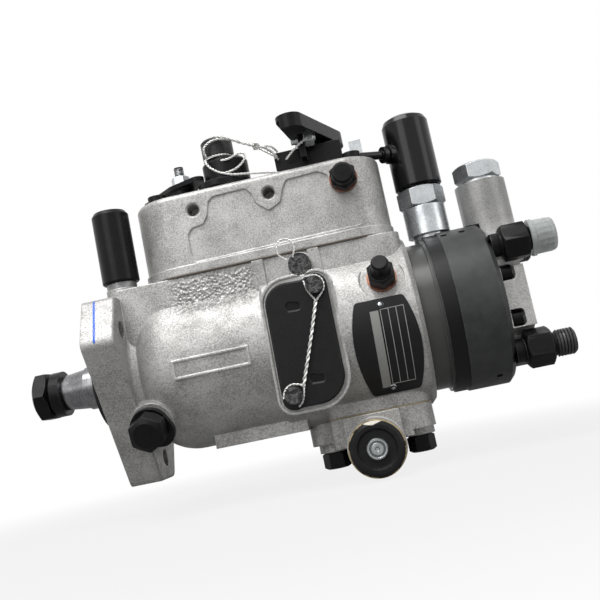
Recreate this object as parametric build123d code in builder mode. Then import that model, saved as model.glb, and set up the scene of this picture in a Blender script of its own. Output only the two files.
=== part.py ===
from build123d import *
import os
from math import asin, atan2, cos, degrees, radians, sin, sqrt

# Rotary (distributor) diesel injection pump, in millimetres.
# +X runs along the drive shaft from the drive end to the hydraulic head, +Z is up through the
# governor cover, -Y is the side with the cover plate and the name plate.
# The origin lies on the shaft axis in the mounting face of the flange.

os.makedirs("parts", exist_ok=True)

# ---------------------------------------------------------------- clearances
running_gap = 0.05
slide_gap = 0.3
swing_gap = 0.4
seat_gap = 0.02
tapping_gap = 0.1

# ---------------------------------------------------------------- screw threads, by radius
screw_thread = 2.5
bolt_thread = 3
fitting_thread = 4
plug_thread = 5

# ---------------------------------------------------------------- flange and pilot
flange_thickness = 17.4
flange_lug_reach = 57.7
flange_lug_half_width = 13.9
flange_corner_radius = 5
flange_lug_angles = [30, 150, 270]
flange_hole_circle_radius = 46
flange_hole_radius = 4.75
pilot_radius = 25
pilot_length = 8
pilot_groove_depth = 2.2
pilot_groove_width = 3.4
pilot_ring_proud = 0.15

# ---------------------------------------------------------------- body casting
body_start_x = 31
shoulder_length = 10
body_step_x = 90.5
body_end_x = 169.5
body_front_radius = 45.2
body_rear_radius = 46.5
neck_radius = 36.5
deck_half_width = 34
deck_opening_wall = 9
deck_top_z = 44.6
deck_rear_x = 167.5
deck_corner_radius = 9
rib_height = 1.2
rib_width = 6
rib_places = [92.5, 122]
governor_bore_radius = 38
governor_bore_start_x = 33
head_bore_radius = 38.6
head_spigot_length = 20
deck_opening_start_x = 50
deck_opening_step_x = 146
deck_opening_end_x = 158
deck_opening_half_width = deck_half_width - deck_opening_wall
name_frame_size = (40, 10)
name_frame_border = 1.3
name_frame_centre = (61, -3.6)
name_frame_height = 0.8
lower_pad_start_x = 51
lower_pad_end_x = 100.6
lower_pad_half_width = 22
lower_pad_height = 1.4

# ---------------------------------------------------------------- drive shaft
nut_across_flats = 25
nut_start_x = -47.7
nut_turn = 30
washer_start_x = -37.5
washer_radius = 12.6
cone_start_x = -32.1
cone_end_x = -18
cone_start_radius = 9.6
cone_end_radius = 11.3
shaft_thread_radius = 7
shaft_bearing_radius = 12
shaft_governor_radius = 9
shaft_end_radius = 10
key_width = 4
bearing_start_x = 4
bearing_end_x = 26
bearing_outer_radius = 17.5
oil_seal_start_x = -7
oil_seal_end_x = 1.5
oil_seal_outer_radius = 17

# ---------------------------------------------------------------- governor
cage_start_x = 35
cage_disc_thickness = 3
cage_radius = 32
cage_hub_radius = 14
weight_pivot_x = 43
weight_pivot_radius = 28
weight_pin_radius = 1.6
weight_width = 18
weight_rear_x = 58
weight_inner_radius = 19.5
weight_outer_radius = 31.5
weight_toe_radius = 14.5
ear_thickness = 2.5
sleeve_start_x = 45
sleeve_flange_radius = 18
sleeve_flange_thickness = 3
sleeve_tube_radius = 12
sleeve_end_x = 66
sleeve_collar_radius = 14.5
sleeve_room = 6
governor_pivot_x = 74
governor_pivot_z = 50
governor_pin_radius = 2.5
governor_arm_top_z = 69
link_z = 64.5
link_y = 9
link_rod_radius = 1.3
link_eye_height = 3.4
valve_x = 154
valve_radius = 4
valve_bottom_z = 19
valve_shoulder_z = 37
valve_lever_z = 60.5
valve_pin_radius = 1

# ---------------------------------------------------------------- rotor, plungers and cam ring
cam_x = 133.5
cam_width = 21
cam_outer_radius = 33.5
cam_base_radius = 29.7
cam_lobe_tip_radius = 27.4
cam_lobe_radius = 8
rotor_radius = 9.5
rotor_start_x = 106
rotor_pump_radius = 20
rotor_collar_radius = 13
rotor_end_x = 211
tongue_start_x = 104
tongue_width = 6
tongue_length = 6
plunger_radius = 4
plunger_inner_radius = 1
shoe_width = 12
shoe_length = 16
shoe_inner_radius = 15.2
shoe_outer_radius = 21.6
roller_radius = 4.9
roller_length = 15
roller_orbit_radius = 22

# ---------------------------------------------------------------- hydraulic head
head_neck_radius = 40
head_neck_end_x = 178.5
head_ridge_radius = 42
head_ridge_width = 1.8
head_band_radius = 43
head_ring_start_x = 187.8
head_ring_end_x = 211.5
head_ring_radius = 43.7
head_ring_chamfer = 2.4
head_sleeve_radius = 16
head_sleeve_start_x = 151
set_screw_hole_radius = 1.9
set_screw_hole_depth = 4
set_screw_places = [(190.8, 117), (200.4, 117), (202.5, 243), (200.4, 300), (200.4, 20)]

# ---------------------------------------------------------------- delivery unions
union_circle_radius = 39
union_angles = [47.3, 137.3, 227.3, 317.3]
union_turns = [0, 30, -8, 15]
union_neck_radius = 6.2
union_spigot_radius = 3.4
union_spigot_depth = 11
union_hex_start_x = 216.5
union_hex_length = 14
union_across_flats = 17.5
union_thread_radius = 7
union_end_x = 241.8
union_bore_radius = 1.5
union_cone_depth = 3.5
cap_start_x = 231.3
cap_end_x = 244
cap_radius = 8.9
cap_rim_radius = 9.5
cap_rim_width = 2.4
cap_wall = 1

# ---------------------------------------------------------------- end plate and inlet
plate_end_x = 225.2
plate_boss_end_x = 226.8
plate_boss_radius = 19
plate_half_width = 29.5
plate_half_height = 20
plate_radius = 34
union_clearance_radius = 12
pocket_width = 9
pocket_length = 6.8
pocket_corner = 2.2
pocket_start_x = 213.6
pocket_floor_y = 20.5
pocket_y = 25
pocket_z = 12
screw_head_radius = 3.9
screw_head_length = 5.6
inlet_x = 218.5
inlet_boss_radius = 13.7
inlet_boss_top_z = 66
inlet_bore_radius = 6
inlet_across_flats = 22.6
inlet_hex_start_z = 67.6
inlet_hex_end_z = 77.4
inlet_spigot_radius = 9
inlet_spigot_depth = 12
inlet_thread_radius = 7
inlet_thread_length = 7
liner_radius = 18
liner_bore_radius = 14.5
liner_offset = 1.4
liner_length = 10
blade_rotor_radius = 11
blade_thickness = 2.4
blade_tip_radius = 12.6
blade_inner_radius = 6.2
rotor_stub_radius = 4.5

# ---------------------------------------------------------------- stop solenoid
solenoid_x = 185.7
solenoid_body_radius = 11.7
solenoid_hex_start_z = 59.5
solenoid_hex_end_z = 71
solenoid_across_flats = 22.6
solenoid_can_radius = 13
solenoid_can_end_z = 112.6
solenoid_can_crown = 4
solenoid_thread_radius = 9
solenoid_thread_depth = 12
solenoid_seat_z = 43.9
solenoid_plunger_radius = 4
solenoid_stroke = 1.5
terminal_z = 92.2
terminal_angle = 207
terminal_rod_radius = 2.3
terminal_collar_radius = 4.6
terminal_reach = 33

# ---------------------------------------------------------------- governor cover
gasket_thickness = 0.6
cover_start_x = 30
cover_end_x = 165.6
cover_band_height = 4.6
cover_band_margin = 1.3
cover_top_z = 89
cover_corner_radius = 22
cover_edge_radius = 3
cover_wall = 4.5
cover_recess_depth = 1
cover_hole_radius = 3.1
cover_hole_1 = (64.4, 78.4)
cover_hole_2 = (105.4, 78.6)
cover_plug_place = (145.3, 77)
cover_screw_radius = 3
cover_screw_head_radius = 5
cover_screw_head_height = 4
socket_radius = 2.5
cover_screw_front_inset = 14
cover_screw_rear_inset = 13.6
cover_screw_side_inset = 12
top_pad_height = 2

# ---------------------------------------------------------------- side cover, vent, lock, tube
side_pad_cut = 1.1
side_pad_y = body_rear_radius - side_pad_cut
side_plate_thickness = 3
side_plate_corners = [
    ((93.7, 28.2), 11), ((114, 27.5), 3), ((117.6, 29.4), 2.5), ((126, 29.6), 5.6), ((125.7, -13), 20),
    ((126, -34.9), 14.5), ((102.6, -34.5), 3), ((99.4, -35.2), 2), ((92.9, -34.8), 5.6), ((93, -22), 8)]
side_pad_corners = [side_plate_corners[i] for i in (0, 3, 5, 8)]
side_pad_gap = 1.2
side_pad_rim = 2.6
side_pad_rim_height = 0.6
side_window_size = (17, 34)
side_window_centre = (110, -3)
side_screw_1 = (114.3, 36.6)
side_screw_2 = (119.9, 23.2)
side_screw_3 = (99.3, -28)
side_screw_1_radius = 5.8
side_screw_radius = 4.4
side_screw_1_head = 5.6
side_screw_1_stand = 2.8
side_screw_1_grip = 10.8
side_screw_grip = 10.4
wire_radius = 0.45
plate_rear_gap = 8
plate_width = 24.4
plate_bulge = 4.5
plate_top_z = 10.4
plate_pad_gap = 0.7
vent_base = (153.3, 40.2, 20.5)
vent_tilt = 20
vent_face_radius = 11.5
vent_hex_flats = 13
vent_hex_length = 7
vent_head_radius = 4.4
vent_head_length = 9
vent_hole_depth = 6
lock_x = 24.3
lock_start = (-33, -26)
lock_tilt = -18
lock_boss_face = 6
lock_boss_radius = 11.5
lock_keeper_thickness = 3
lock_keeper_head = (-1, -0.5)
lock_keeper_head_radius = 10.2
lock_keeper_tail = (3.7, -4)
lock_keeper_tail_radius = 7.5
lock_flats = 16.5
lock_bevel = 1.85
lock_collar = 1.2
lock_hex_height = 11.8
tube_x = 17
tube_y = -24
tube_sleeve_radius = 9.9
tube_sleeve_bottom_z = 47.5
tube_sleeve_top_z = 89.5
tube_bore_radius = 6.2
tube_seat_z = 46.2
tube_connector_bore = 4.6
tube_duct_radius = 2
tube_grip = 12.2
tube_collar_radius = 8
tube_collar_height = 3.4

# ---------------------------------------------------------------- advance unit
advance_axis_z = -61
advance_joint_z = -43.6
advance_start_x = 99.5
advance_block_start_x = 112
advance_block_end_x = 153.5
advance_end_x = 165.5
advance_half_width = 28
advance_lug_half_width = 11
advance_corner_radius = 11
advance_lug_bottom_z = -56.4
advance_block_bottom_z = -59.2
advance_block_proud = 0.15
advance_cylinder_radius = 15
advance_cylinder_half_length = 37
advance_bore_radius = 10
advance_piston_half_length = 20
advance_ball_radius = 6
advance_stem_radius = 4
advance_slot_length = 26
advance_hole_radius = 3.3
advance_cap_radius = 14
advance_cap_face_y = 50
advance_plug_depth = 6
advance_bolt_x = [110.5, 157]
advance_bolt_top_z = [-38.6, -31]
advance_bolt_flats = 13
advance_boss_radius = 8.2
advance_web_width = 28.6
advance_bolt_head_z = -61
advance_bolt_head_height = 9

# ---------------------------------------------------------------- levers on the cover
adjuster_x = 83
adjuster_y = -12
adjuster_hub_radius = 12.7
adjuster_hub_top_z = 107.5
adjuster_spigot_radius = 4
adjuster_cap_x = 80.6
adjuster_cap_y = -13.5
adjuster_cap_radius = 8.8
adjuster_cap_top_z = 119.5
stop_shaft_x = 56
stop_shaft_y = -8
stop_shaft_radius = 4
stop_lever_z = 97
stop_lever_thickness = 2.5
stop_lever_tip = (34, 10)
stop_lever_tail = (67, -19)
stop_lever_hole_radius = 2.2
lever_stud_radius = 2.6
throttle_x = 137
throttle_y = 6
throttle_shaft_radius = 5
throttle_lever_z = 112
throttle_lever_thickness = 2.5
throttle_tip = (124, -39)
throttle_tip_radius = 7
throttle_hub_radius = 13
throttle_stud_radius = 3
throttle_hole_radius = 3
throttle_flange_depth = 5
throttle_crank_radius = 13
bracket_start_x = 111
bracket_end_x = 148
bracket_front_y = -17
bracket_back_y = 16
bracket_top_z = 104
bracket_wall = 2.5
stop_screw_x = 131
stop_screw_y = -22
stop_screw_z = 106.6


# ---------------------------------------------------------------- helpers
def save(builder, name):
    """Label a finished piece and write its STEP file."""
    builder.part.label = name
    export_step(builder.part, f"parts/{name}.step")


def lathe_plane(origin, direction):
    """A sketch plane whose own X axis is a turning axis with this origin and direction."""
    heading = Vector(*direction).normalized()
    helper = Vector(0, 0, 1) if abs(heading.Z) < 0.9 else Vector(0, 1, 0)
    return Plane(origin=origin, x_dir=heading, z_dir=heading.cross(helper))


def turned(profile, plane=Plane.XY, mode=Mode.ADD):
    """Revolve a closed (along, radius) profile about the sketch plane's own X axis."""
    with BuildSketch(plane) as section:
        with BuildLine():
            Polyline(*profile, close=True)
        make_face()
    revolve(section.sketch, axis=Axis(plane.origin, plane.x_dir), mode=mode)


def along(plane, distance):
    """The point at a distance along a turning axis."""
    return plane.origin + plane.x_dir * distance


def bar(start, end, radius, bore=0):
    """Profile of a plain round bar or tube between two places along a turning axis."""
    return [(start, bore), (start, radius), (end, radius), (end, bore)]


def hex_blank(across_flats, height, bevel=0.8, bore=0):
    """A nut or bolt head on the XY plane, with its corners turned off at both ends."""
    corner_radius = across_flats / sqrt(3)
    flat_radius = across_flats / 2
    rise = (corner_radius - flat_radius + bevel) * 0.58
    with BuildPart() as blank:
        with BuildSketch():
            RegularPolygon(radius=flat_radius, side_count=6, major_radius=False)
        extrude(amount=height)
        profile = [
            (0, 0), (0, flat_radius - bevel), (rise, corner_radius), (height - rise, corner_radius),
            (height, flat_radius - bevel), (height, 0)]
        turned(profile, lathe_plane((0, 0, 0), (0, 0, 1)), mode=Mode.INTERSECT)
        if bore:
            with BuildSketch():
                Circle(bore)
            extrude(amount=height, mode=Mode.SUBTRACT)
    return blank.part


def tapered_slot(start, end, start_radius, end_radius, mode=Mode.ADD):
    """The outline of a lever between two round ends, in the current sketch."""
    span = Vector(end[0] - start[0], end[1] - start[1])
    heading = atan2(span.Y, span.X)
    lean = asin((start_radius - end_radius) / span.length)
    corners = []
    for centre, radius, side in (
            (start, start_radius, 1), (end, end_radius, 1), (end, end_radius, -1), (start, start_radius, -1)):
        angle = heading + side * (radians(90) - lean)
        corners.append((centre[0] + radius * cos(angle), centre[1] + radius * sin(angle)))
    with BuildLine() as sides:
        Polyline(*corners, close=True)
    make_face(sides.edges(), mode=mode)
    with Locations(start):
        Circle(start_radius, mode=mode)
    with Locations(end):
        Circle(end_radius, mode=mode)


def polar(radius, angle):
    """The (y, z) place at a radius and an angle counted from +Y towards +Z."""
    return radius * cos(radians(angle)), radius * sin(radians(angle))


cover_bottom_z = deck_top_z + gasket_thickness
barrel_radius = max(body_front_radius, body_rear_radius)
side_screw_1_seat = deck_half_width + side_screw_1_stand
cover_screw_y = deck_half_width - cover_screw_side_inset
cover_screw_places = [
    (x, y) for x in (cover_start_x + cover_screw_front_inset, cover_end_x - cover_screw_rear_inset)
    for y in (cover_screw_y, -cover_screw_y)]
union_places = [polar(union_circle_radius, angle) for angle in union_angles]
flange_holes = [polar(flange_hole_circle_radius, angle) for angle in flange_lug_angles]
side_face_y = side_pad_y + side_plate_thickness
vent_direction = (0, -cos(radians(vent_tilt)), sin(radians(vent_tilt)))
lock_direction = (0, -cos(radians(lock_tilt)), sin(radians(lock_tilt)))
vent_plane = lathe_plane((vent_base[0], -vent_base[1], vent_base[2]), vent_direction)
lock_plane = lathe_plane((lock_x, lock_start[0], lock_start[1]), lock_direction)
lock_face_plane = Plane(origin=along(lock_plane, lock_boss_face), x_dir=(1, 0, 0), z_dir=lock_direction)
advance_plane = lathe_plane((cam_x, 0, advance_axis_z), (0, -1, 0))
upright = {}
for name, place in (
        ("throttle", (throttle_x, throttle_y)), ("stop", (stop_shaft_x, stop_shaft_y)),
        ("adjuster", (adjuster_x, adjuster_y)), ("cap", (adjuster_cap_x, adjuster_cap_y)),
        ("tube", (tube_x, tube_y)), ("solenoid", (solenoid_x, 0)), ("inlet", (inlet_x, 0)),
        ("valve", (valve_x, 0))):
    upright[name] = lathe_plane((*place, 0), (0, 0, 1))

# ---------------------------------------------------------------- pump housing
cam_seat_radius = cam_outer_radius + slide_gap
cam_start_x = cam_x - cam_width / 2
cam_end_x = cam_x + cam_width / 2
head_spigot_start_x = body_end_x - head_spigot_length


def flange_outline():
    """The three-lugged flange as a triangle with its corners cut off."""
    corners = []
    for angle in flange_lug_angles:
        y, z = polar(flange_lug_reach, angle)
        for side in (-1, 1):
            dy, dz = polar(side * flange_lug_half_width, angle + 90)
            corners.append((y + dy, z + dz))
    return corners


def rounded_outline(corners):
    """A closed outline through corners that each have their own radius."""
    with BuildLine() as outline:
        FilletPolyline(*[corner for corner, _ in corners], radius=[radius for _, radius in corners], close=True)
    make_face(outline.edges())


def lock_keeper_outline(gap):
    """The lock screw's oval keeper plate, grown by a gap."""
    tapered_slot(lock_keeper_head, lock_keeper_tail, lock_keeper_head_radius + gap, lock_keeper_tail_radius + gap)


def advance_face(grow=0):
    """The joint face of the advance unit: a wide block with a narrow lug at its front."""
    corners = [
        ((advance_start_x - grow, advance_lug_half_width + grow), 6),
        ((advance_block_start_x - grow, advance_lug_half_width + grow), 0.6),
        ((advance_block_start_x - grow, advance_half_width + grow), 3),
        ((advance_end_x + grow, advance_half_width + grow), advance_corner_radius)]
    rounded_outline(corners + [((x, -y), radius) for (x, y), radius in reversed(corners)])


with BuildPart() as pump_housing:
    with BuildSketch(Plane.YZ) as flange_face:
        with BuildLine():
            Polyline(*flange_outline(), close=True)
        make_face()
        fillet(flange_face.vertices(), flange_corner_radius)
    extrude(amount=flange_thickness)
    fillet(pump_housing.faces().sort_by(Axis.X)[-1].edges(), 1.5)
    turned(bar(-pilot_length, 1, pilot_radius))
    with BuildSketch(Plane.XY):
        with BuildLine():
            shoulder = TangentArc(
                (body_start_x + shoulder_length, body_front_radius), (flange_thickness + 4, neck_radius),
                tangent=(-1, 0))
            Polyline(
                shoulder @ 1, (flange_thickness + 1, neck_radius + 1), (flange_thickness - 1, neck_radius + 3.5),
                (flange_thickness - 1, 0), (body_end_x, 0), (body_end_x, body_rear_radius - 2.5),
                (body_end_x - 2.5, body_rear_radius), (body_step_x + 1.5, body_rear_radius),
                (body_step_x, body_front_radius), shoulder @ 0)
        make_face()
    revolve(axis=Axis.X)
    with BuildSketch(Plane.XY) as deck:
        with Locations(((flange_thickness - 1 + deck_rear_x) / 2, 0)):
            Rectangle(deck_rear_x - flange_thickness + 1, 2 * deck_half_width)
        fillet(deck.vertices().group_by(Axis.X)[-1], deck_corner_radius)
    extrude(amount=deck_top_z)
    for x in rib_places:
        with BuildSketch(Plane.XY):
            with Locations((x, 0)):
                Rectangle(rib_width, 2 * (deck_half_width + rib_height))
        extrude(amount=deck_top_z)
    with BuildSketch(Plane.XY.offset(-body_front_radius - lower_pad_height)):
        with Locations(((lower_pad_start_x + lower_pad_end_x) / 2, 0)):
            Rectangle(lower_pad_end_x - lower_pad_start_x, 2 * lower_pad_half_width)
    extrude(amount=body_front_radius / 2)
    with BuildSketch(Plane.XY.offset(advance_joint_z)):
        advance_face()
    extrude(amount=-advance_joint_z / 2)
    with BuildSketch(Plane.XY.offset(advance_joint_z)):
        advance_face(slide_gap)
    extrude(amount=-body_rear_radius - advance_joint_z - 5, mode=Mode.SUBTRACT)
    with BuildSketch(Plane.XZ.offset(side_pad_y / 2)):
        rounded_outline(side_pad_corners)
        offset(amount=side_pad_rim)
    extrude(amount=side_pad_y / 2 + side_pad_rim_height)
    with BuildSketch(Plane.XZ.offset(side_pad_y)):
        rounded_outline(side_pad_corners)
        offset(amount=side_pad_gap)
    extrude(amount=side_pad_cut + 4, mode=Mode.SUBTRACT)
    with BuildSketch(Plane.XZ.offset(body_front_radius - 3)):
        with Locations(name_frame_centre):
            Rectangle(*name_frame_size)
            Rectangle(
                name_frame_size[0] - 2 * name_frame_border, name_frame_size[1] - 2 * name_frame_border,
                mode=Mode.SUBTRACT)
    extrude(amount=name_frame_height + 3)
    turned(bar(-16, 0, vent_face_radius - 0.5), vent_plane)
    turned(bar(-14, lock_boss_face, lock_boss_radius), lock_plane)
    with BuildSketch(Plane.XY.offset(deck_top_z)):
        with Locations(((flange_thickness + body_end_x) / 2, 0)):
            Rectangle(body_end_x - flange_thickness, 2 * barrel_radius)
    extrude(amount=barrel_radius + 5 - deck_top_z, mode=Mode.SUBTRACT)
    turned(bar(deck_top_z / 2, tube_seat_z, 8.6), upright["tube"])
    screw_1_plane = lathe_plane((side_screw_1[0], 0, side_screw_1[1]), (0, -1, 0))
    turned(bar(side_screw_1_seat - 16.8, side_screw_1_seat, 7), screw_1_plane)
    turned(bar(side_screw_1_seat, side_screw_1_seat + 10, side_screw_1_radius + 0.6), screw_1_plane,
           mode=Mode.SUBTRACT)
    with BuildSketch(lock_face_plane):
        lock_keeper_outline(0.3)
    extrude(amount=20, mode=Mode.SUBTRACT)
    # inner chambers
    turned(bar(-pilot_length, oil_seal_end_x + 1, oil_seal_outer_radius), mode=Mode.SUBTRACT)
    turned(bar(0, governor_bore_start_x, shaft_bearing_radius + 2), mode=Mode.SUBTRACT)
    turned(bar(bearing_start_x, governor_bore_start_x, bearing_outer_radius), mode=Mode.SUBTRACT)
    turned(bar(governor_bore_start_x, cam_start_x - 1.5, governor_bore_radius), mode=Mode.SUBTRACT)
    turned(bar(cam_start_x - 2, head_spigot_start_x, cam_seat_radius), mode=Mode.SUBTRACT)
    turned(bar(head_spigot_start_x, body_end_x, head_bore_radius), mode=Mode.SUBTRACT)
    with BuildSketch(Plane.XY.offset(deck_top_z)) as opening:
        with Locations(((deck_opening_start_x + deck_opening_step_x) / 2, 0)):
            Rectangle(deck_opening_step_x - deck_opening_start_x, 2 * deck_opening_half_width)
        with Locations(((deck_opening_step_x + deck_opening_end_x - 8) / 2, 0)):
            Rectangle(deck_opening_end_x + 12 - deck_opening_step_x, 26)
        fillet(opening.vertices().group_by(Axis.X)[0], 6)
    extrude(amount=-deck_top_z / 2, mode=Mode.SUBTRACT)
    # pilot groove, spot face and tapped holes
    turned([
        (-pilot_length + 2, pilot_radius - pilot_groove_depth), (-pilot_length + 2, pilot_radius + 1),
        (-pilot_length + 2 + pilot_groove_width, pilot_radius + 1),
        (-pilot_length + 2 + pilot_groove_width, pilot_radius - pilot_groove_depth)], mode=Mode.SUBTRACT)
    turned(bar(0, 14, vent_face_radius), vent_plane, mode=Mode.SUBTRACT)
    turned(bar(-vent_hole_depth, 0, fitting_thread + tapping_gap), vent_plane, mode=Mode.SUBTRACT)
    turned(bar(-26, lock_boss_face, fitting_thread + tapping_gap), lock_plane, mode=Mode.SUBTRACT)
    turned(bar(tube_seat_z - tube_grip - 4, tube_seat_z, fitting_thread + tapping_gap), upright["tube"],
           mode=Mode.SUBTRACT)
    turned(bar(side_screw_1_seat - side_screw_1_grip - 2, side_screw_1_seat, bolt_thread + tapping_gap),
           screw_1_plane, mode=Mode.SUBTRACT)
    for x, z in (side_screw_2, side_screw_3):
        turned(bar(side_face_y - side_screw_grip - 2, side_pad_y, screw_thread + tapping_gap),
               lathe_plane((x, 0, z), (0, -1, 0)), mode=Mode.SUBTRACT)
    with BuildSketch(Plane.XZ.offset(side_pad_y)):
        with Locations(side_window_centre):
            RectangleRounded(*side_window_size, 4)
    extrude(amount=-14, mode=Mode.SUBTRACT)
    with BuildSketch(Plane.YZ):
        with Locations(*flange_holes):
            Circle(flange_hole_radius)
    extrude(amount=flange_thickness, mode=Mode.SUBTRACT)
    for x, y in cover_screw_places:
        turned(bar(35.5, deck_top_z, screw_thread + tapping_gap), lathe_plane((x, y, 0), (0, 0, 1)),
               mode=Mode.SUBTRACT)
    for x, top_z in zip(advance_bolt_x, advance_bolt_top_z):
        turned(bar(advance_joint_z, top_z, bolt_thread + tapping_gap), lathe_plane((x, 0, 0), (0, 0, 1)),
               mode=Mode.SUBTRACT)
    with BuildSketch(Plane.XY.offset(advance_joint_z)):
        with Locations((cam_x, 0)):
            SlotOverall(advance_slot_length, 2 * advance_stem_radius + 3, rotation=90)
    extrude(amount=14, mode=Mode.SUBTRACT)
save(pump_housing, "pump_housing")

# ---------------------------------------------------------------- seals and bearing of the shaft
with BuildPart() as shaft_seals:
    turned([
        (oil_seal_start_x, shaft_bearing_radius + running_gap),
        (oil_seal_start_x, oil_seal_outer_radius - seat_gap),
        (oil_seal_end_x, oil_seal_outer_radius - seat_gap),
        (oil_seal_end_x, oil_seal_outer_radius - 2), (oil_seal_start_x + 2, oil_seal_outer_radius - 2),
        (oil_seal_start_x + 2, shaft_bearing_radius + 1.2), (oil_seal_end_x - 2, shaft_bearing_radius + 0.8),
        (oil_seal_end_x - 2, shaft_bearing_radius + running_gap)])
    ring_radius = (pilot_groove_depth + pilot_ring_proud - seat_gap) / 2
    with BuildSketch(Plane.XY):
        with Locations((-pilot_length + 2 + pilot_groove_width / 2,
                        pilot_radius - pilot_groove_depth + ring_radius + seat_gap)):
            Circle(ring_radius)
    revolve(axis=Axis.X)
save(shaft_seals, "shaft_seals")

with BuildPart() as shaft_bearing:
    turned(bar(
        bearing_start_x, bearing_end_x, bearing_outer_radius - seat_gap, shaft_bearing_radius + running_gap))
    turned([
        ((bearing_start_x + bearing_end_x) / 2 - 1.5, shaft_bearing_radius),
        ((bearing_start_x + bearing_end_x) / 2 - 1.5, shaft_bearing_radius + 0.8),
        ((bearing_start_x + bearing_end_x) / 2 + 1.5, shaft_bearing_radius + 0.8),
        ((bearing_start_x + bearing_end_x) / 2 + 1.5, shaft_bearing_radius)], mode=Mode.SUBTRACT)
save(shaft_bearing, "shaft_bearing")

# ---------------------------------------------------------------- governor cover and its gasket
cover_centre_x = (cover_start_x + cover_end_x) / 2
cover_length = cover_end_x - cover_start_x
cover_width = 2 * deck_half_width
cover_top_inside_z = cover_top_z - cover_wall
cover_deck_z = cover_top_z + top_pad_height

with BuildPart() as cover_gasket:
    with BuildSketch(Plane.XY.offset(deck_top_z)):
        with Locations((cover_centre_x, 0)):
            RectangleRounded(
                cover_length + cover_band_margin, cover_width + 2 * cover_band_margin, cover_corner_radius)
            RectangleRounded(cover_length - 2 * cover_wall, cover_width - 2 * cover_wall,
                             cover_corner_radius - cover_wall, mode=Mode.SUBTRACT)
        with Locations(*cover_screw_places):
            Circle(7)
            Circle(cover_screw_radius + 0.2, mode=Mode.SUBTRACT)
    extrude(amount=gasket_thickness)
save(cover_gasket, "cover_gasket")

with BuildPart() as governor_cover:
    with BuildSketch(Plane.XY.offset(cover_bottom_z)):
        with Locations((cover_centre_x, 0)):
            RectangleRounded(cover_length, cover_width, cover_corner_radius)
    extrude(amount=cover_top_z - cover_bottom_z)
    fillet(governor_cover.faces().sort_by(Axis.Z)[-1].edges(), cover_edge_radius)
    with BuildSketch(Plane.XY.offset(cover_bottom_z)):
        with Locations((cover_centre_x, 0)):
            RectangleRounded(
                cover_length + cover_band_margin, cover_width + 2 * cover_band_margin, cover_corner_radius)
    extrude(amount=cover_band_height)
    with BuildSketch(Plane.XY.offset(cover_bottom_z)):
        with Locations((cover_centre_x, 0)):
            RectangleRounded(cover_length - 2 * cover_wall, cover_width - 2 * cover_wall,
                             cover_corner_radius - cover_wall)
        with Locations(*cover_screw_places):
            Circle(7, mode=Mode.SUBTRACT)
    extrude(amount=cover_top_inside_z - cover_bottom_z, mode=Mode.SUBTRACT)
    for x, z in (cover_hole_1, cover_hole_2):
        turned(bar(deck_half_width - 13, deck_half_width - 1, 7), lathe_plane((x, 0, z), (0, -1, 0)))
    turned(bar(cover_top_inside_z - 6, cover_deck_z, 10), upright["throttle"])
    turned(bar(cover_top_inside_z - 6, cover_deck_z, 9), upright["stop"])
    turned(bar(cover_top_inside_z, cover_deck_z, 14), upright["adjuster"])
    turned(bar(cover_top_inside_z - 7, cover_deck_z, throttle_shaft_radius + running_gap),
           upright["throttle"], mode=Mode.SUBTRACT)
    turned(bar(cover_top_inside_z - 7, cover_deck_z, stop_shaft_radius + running_gap),
           upright["stop"], mode=Mode.SUBTRACT)
    turned(bar(cover_top_inside_z - 1, cover_deck_z, adjuster_spigot_radius), upright["adjuster"],
           mode=Mode.SUBTRACT)
    for x, z in (cover_hole_1, cover_hole_2):
        turned([
            (deck_half_width - 11, 0), (deck_half_width - 11, cover_hole_radius),
            (deck_half_width - 0.9, cover_hole_radius), (deck_half_width, cover_hole_radius + 0.9),
            (deck_half_width, 0)], lathe_plane((x, 0, z), (0, -1, 0)), mode=Mode.SUBTRACT)
    plug_plane = lathe_plane((cover_plug_place[0], 0, cover_plug_place[1]), (0, -1, 0))
    turned(bar(deck_half_width - 8, deck_half_width, plug_thread + tapping_gap), plug_plane, mode=Mode.SUBTRACT)
    for x, y in cover_screw_places:
        screw_plane = lathe_plane((x, y, 0), (0, 0, 1))
        turned(bar(cover_bottom_z, cover_top_z, cover_screw_radius + 0.2), screw_plane, mode=Mode.SUBTRACT)
    # shallow pocket cast into the near wall, running around the bosses
    with BuildSketch(Plane.XZ.offset(deck_half_width)) as pocket:
        with BuildLine():
            Polyline(
                (60.5, 50.8), (59.2, 55), (59.2, 66), (62.4, 69), (68.4, 69.8), (71.4, 74), (73, 81),
                (76, 83.3), (93.6, 83.6), (96.6, 80), (98, 74.5), (104, 69.2), (110.6, 72.5), (113, 79),
                (115.8, 83.3), (133, 84), (137.6, 80.8), (139, 75), (143, 70.4), (148.4, 69), (151.6, 65),
                (152, 57), (149, 51.6), close=True)
        make_face()
        fillet(pocket.vertices(), 1.8)
    extrude(amount=-cover_recess_depth, mode=Mode.SUBTRACT)
save(governor_cover, "governor_cover")

with BuildPart() as cover_screws:
    for x, y in cover_screw_places:
        screw_plane = lathe_plane((x, y, 0), (0, 0, 1))
        turned(bar(36, cover_top_z, screw_thread), screw_plane)
        turned(bar(cover_top_z, cover_top_z + cover_screw_head_height, cover_screw_head_radius), screw_plane)
        with BuildSketch(Plane.XY.offset(cover_top_z + cover_screw_head_height)):
            with Locations((x, y)):
                RegularPolygon(socket_radius, 6, major_radius=False)
        extrude(amount=-2.6, mode=Mode.SUBTRACT)
save(cover_screws, "cover_screws")

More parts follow.
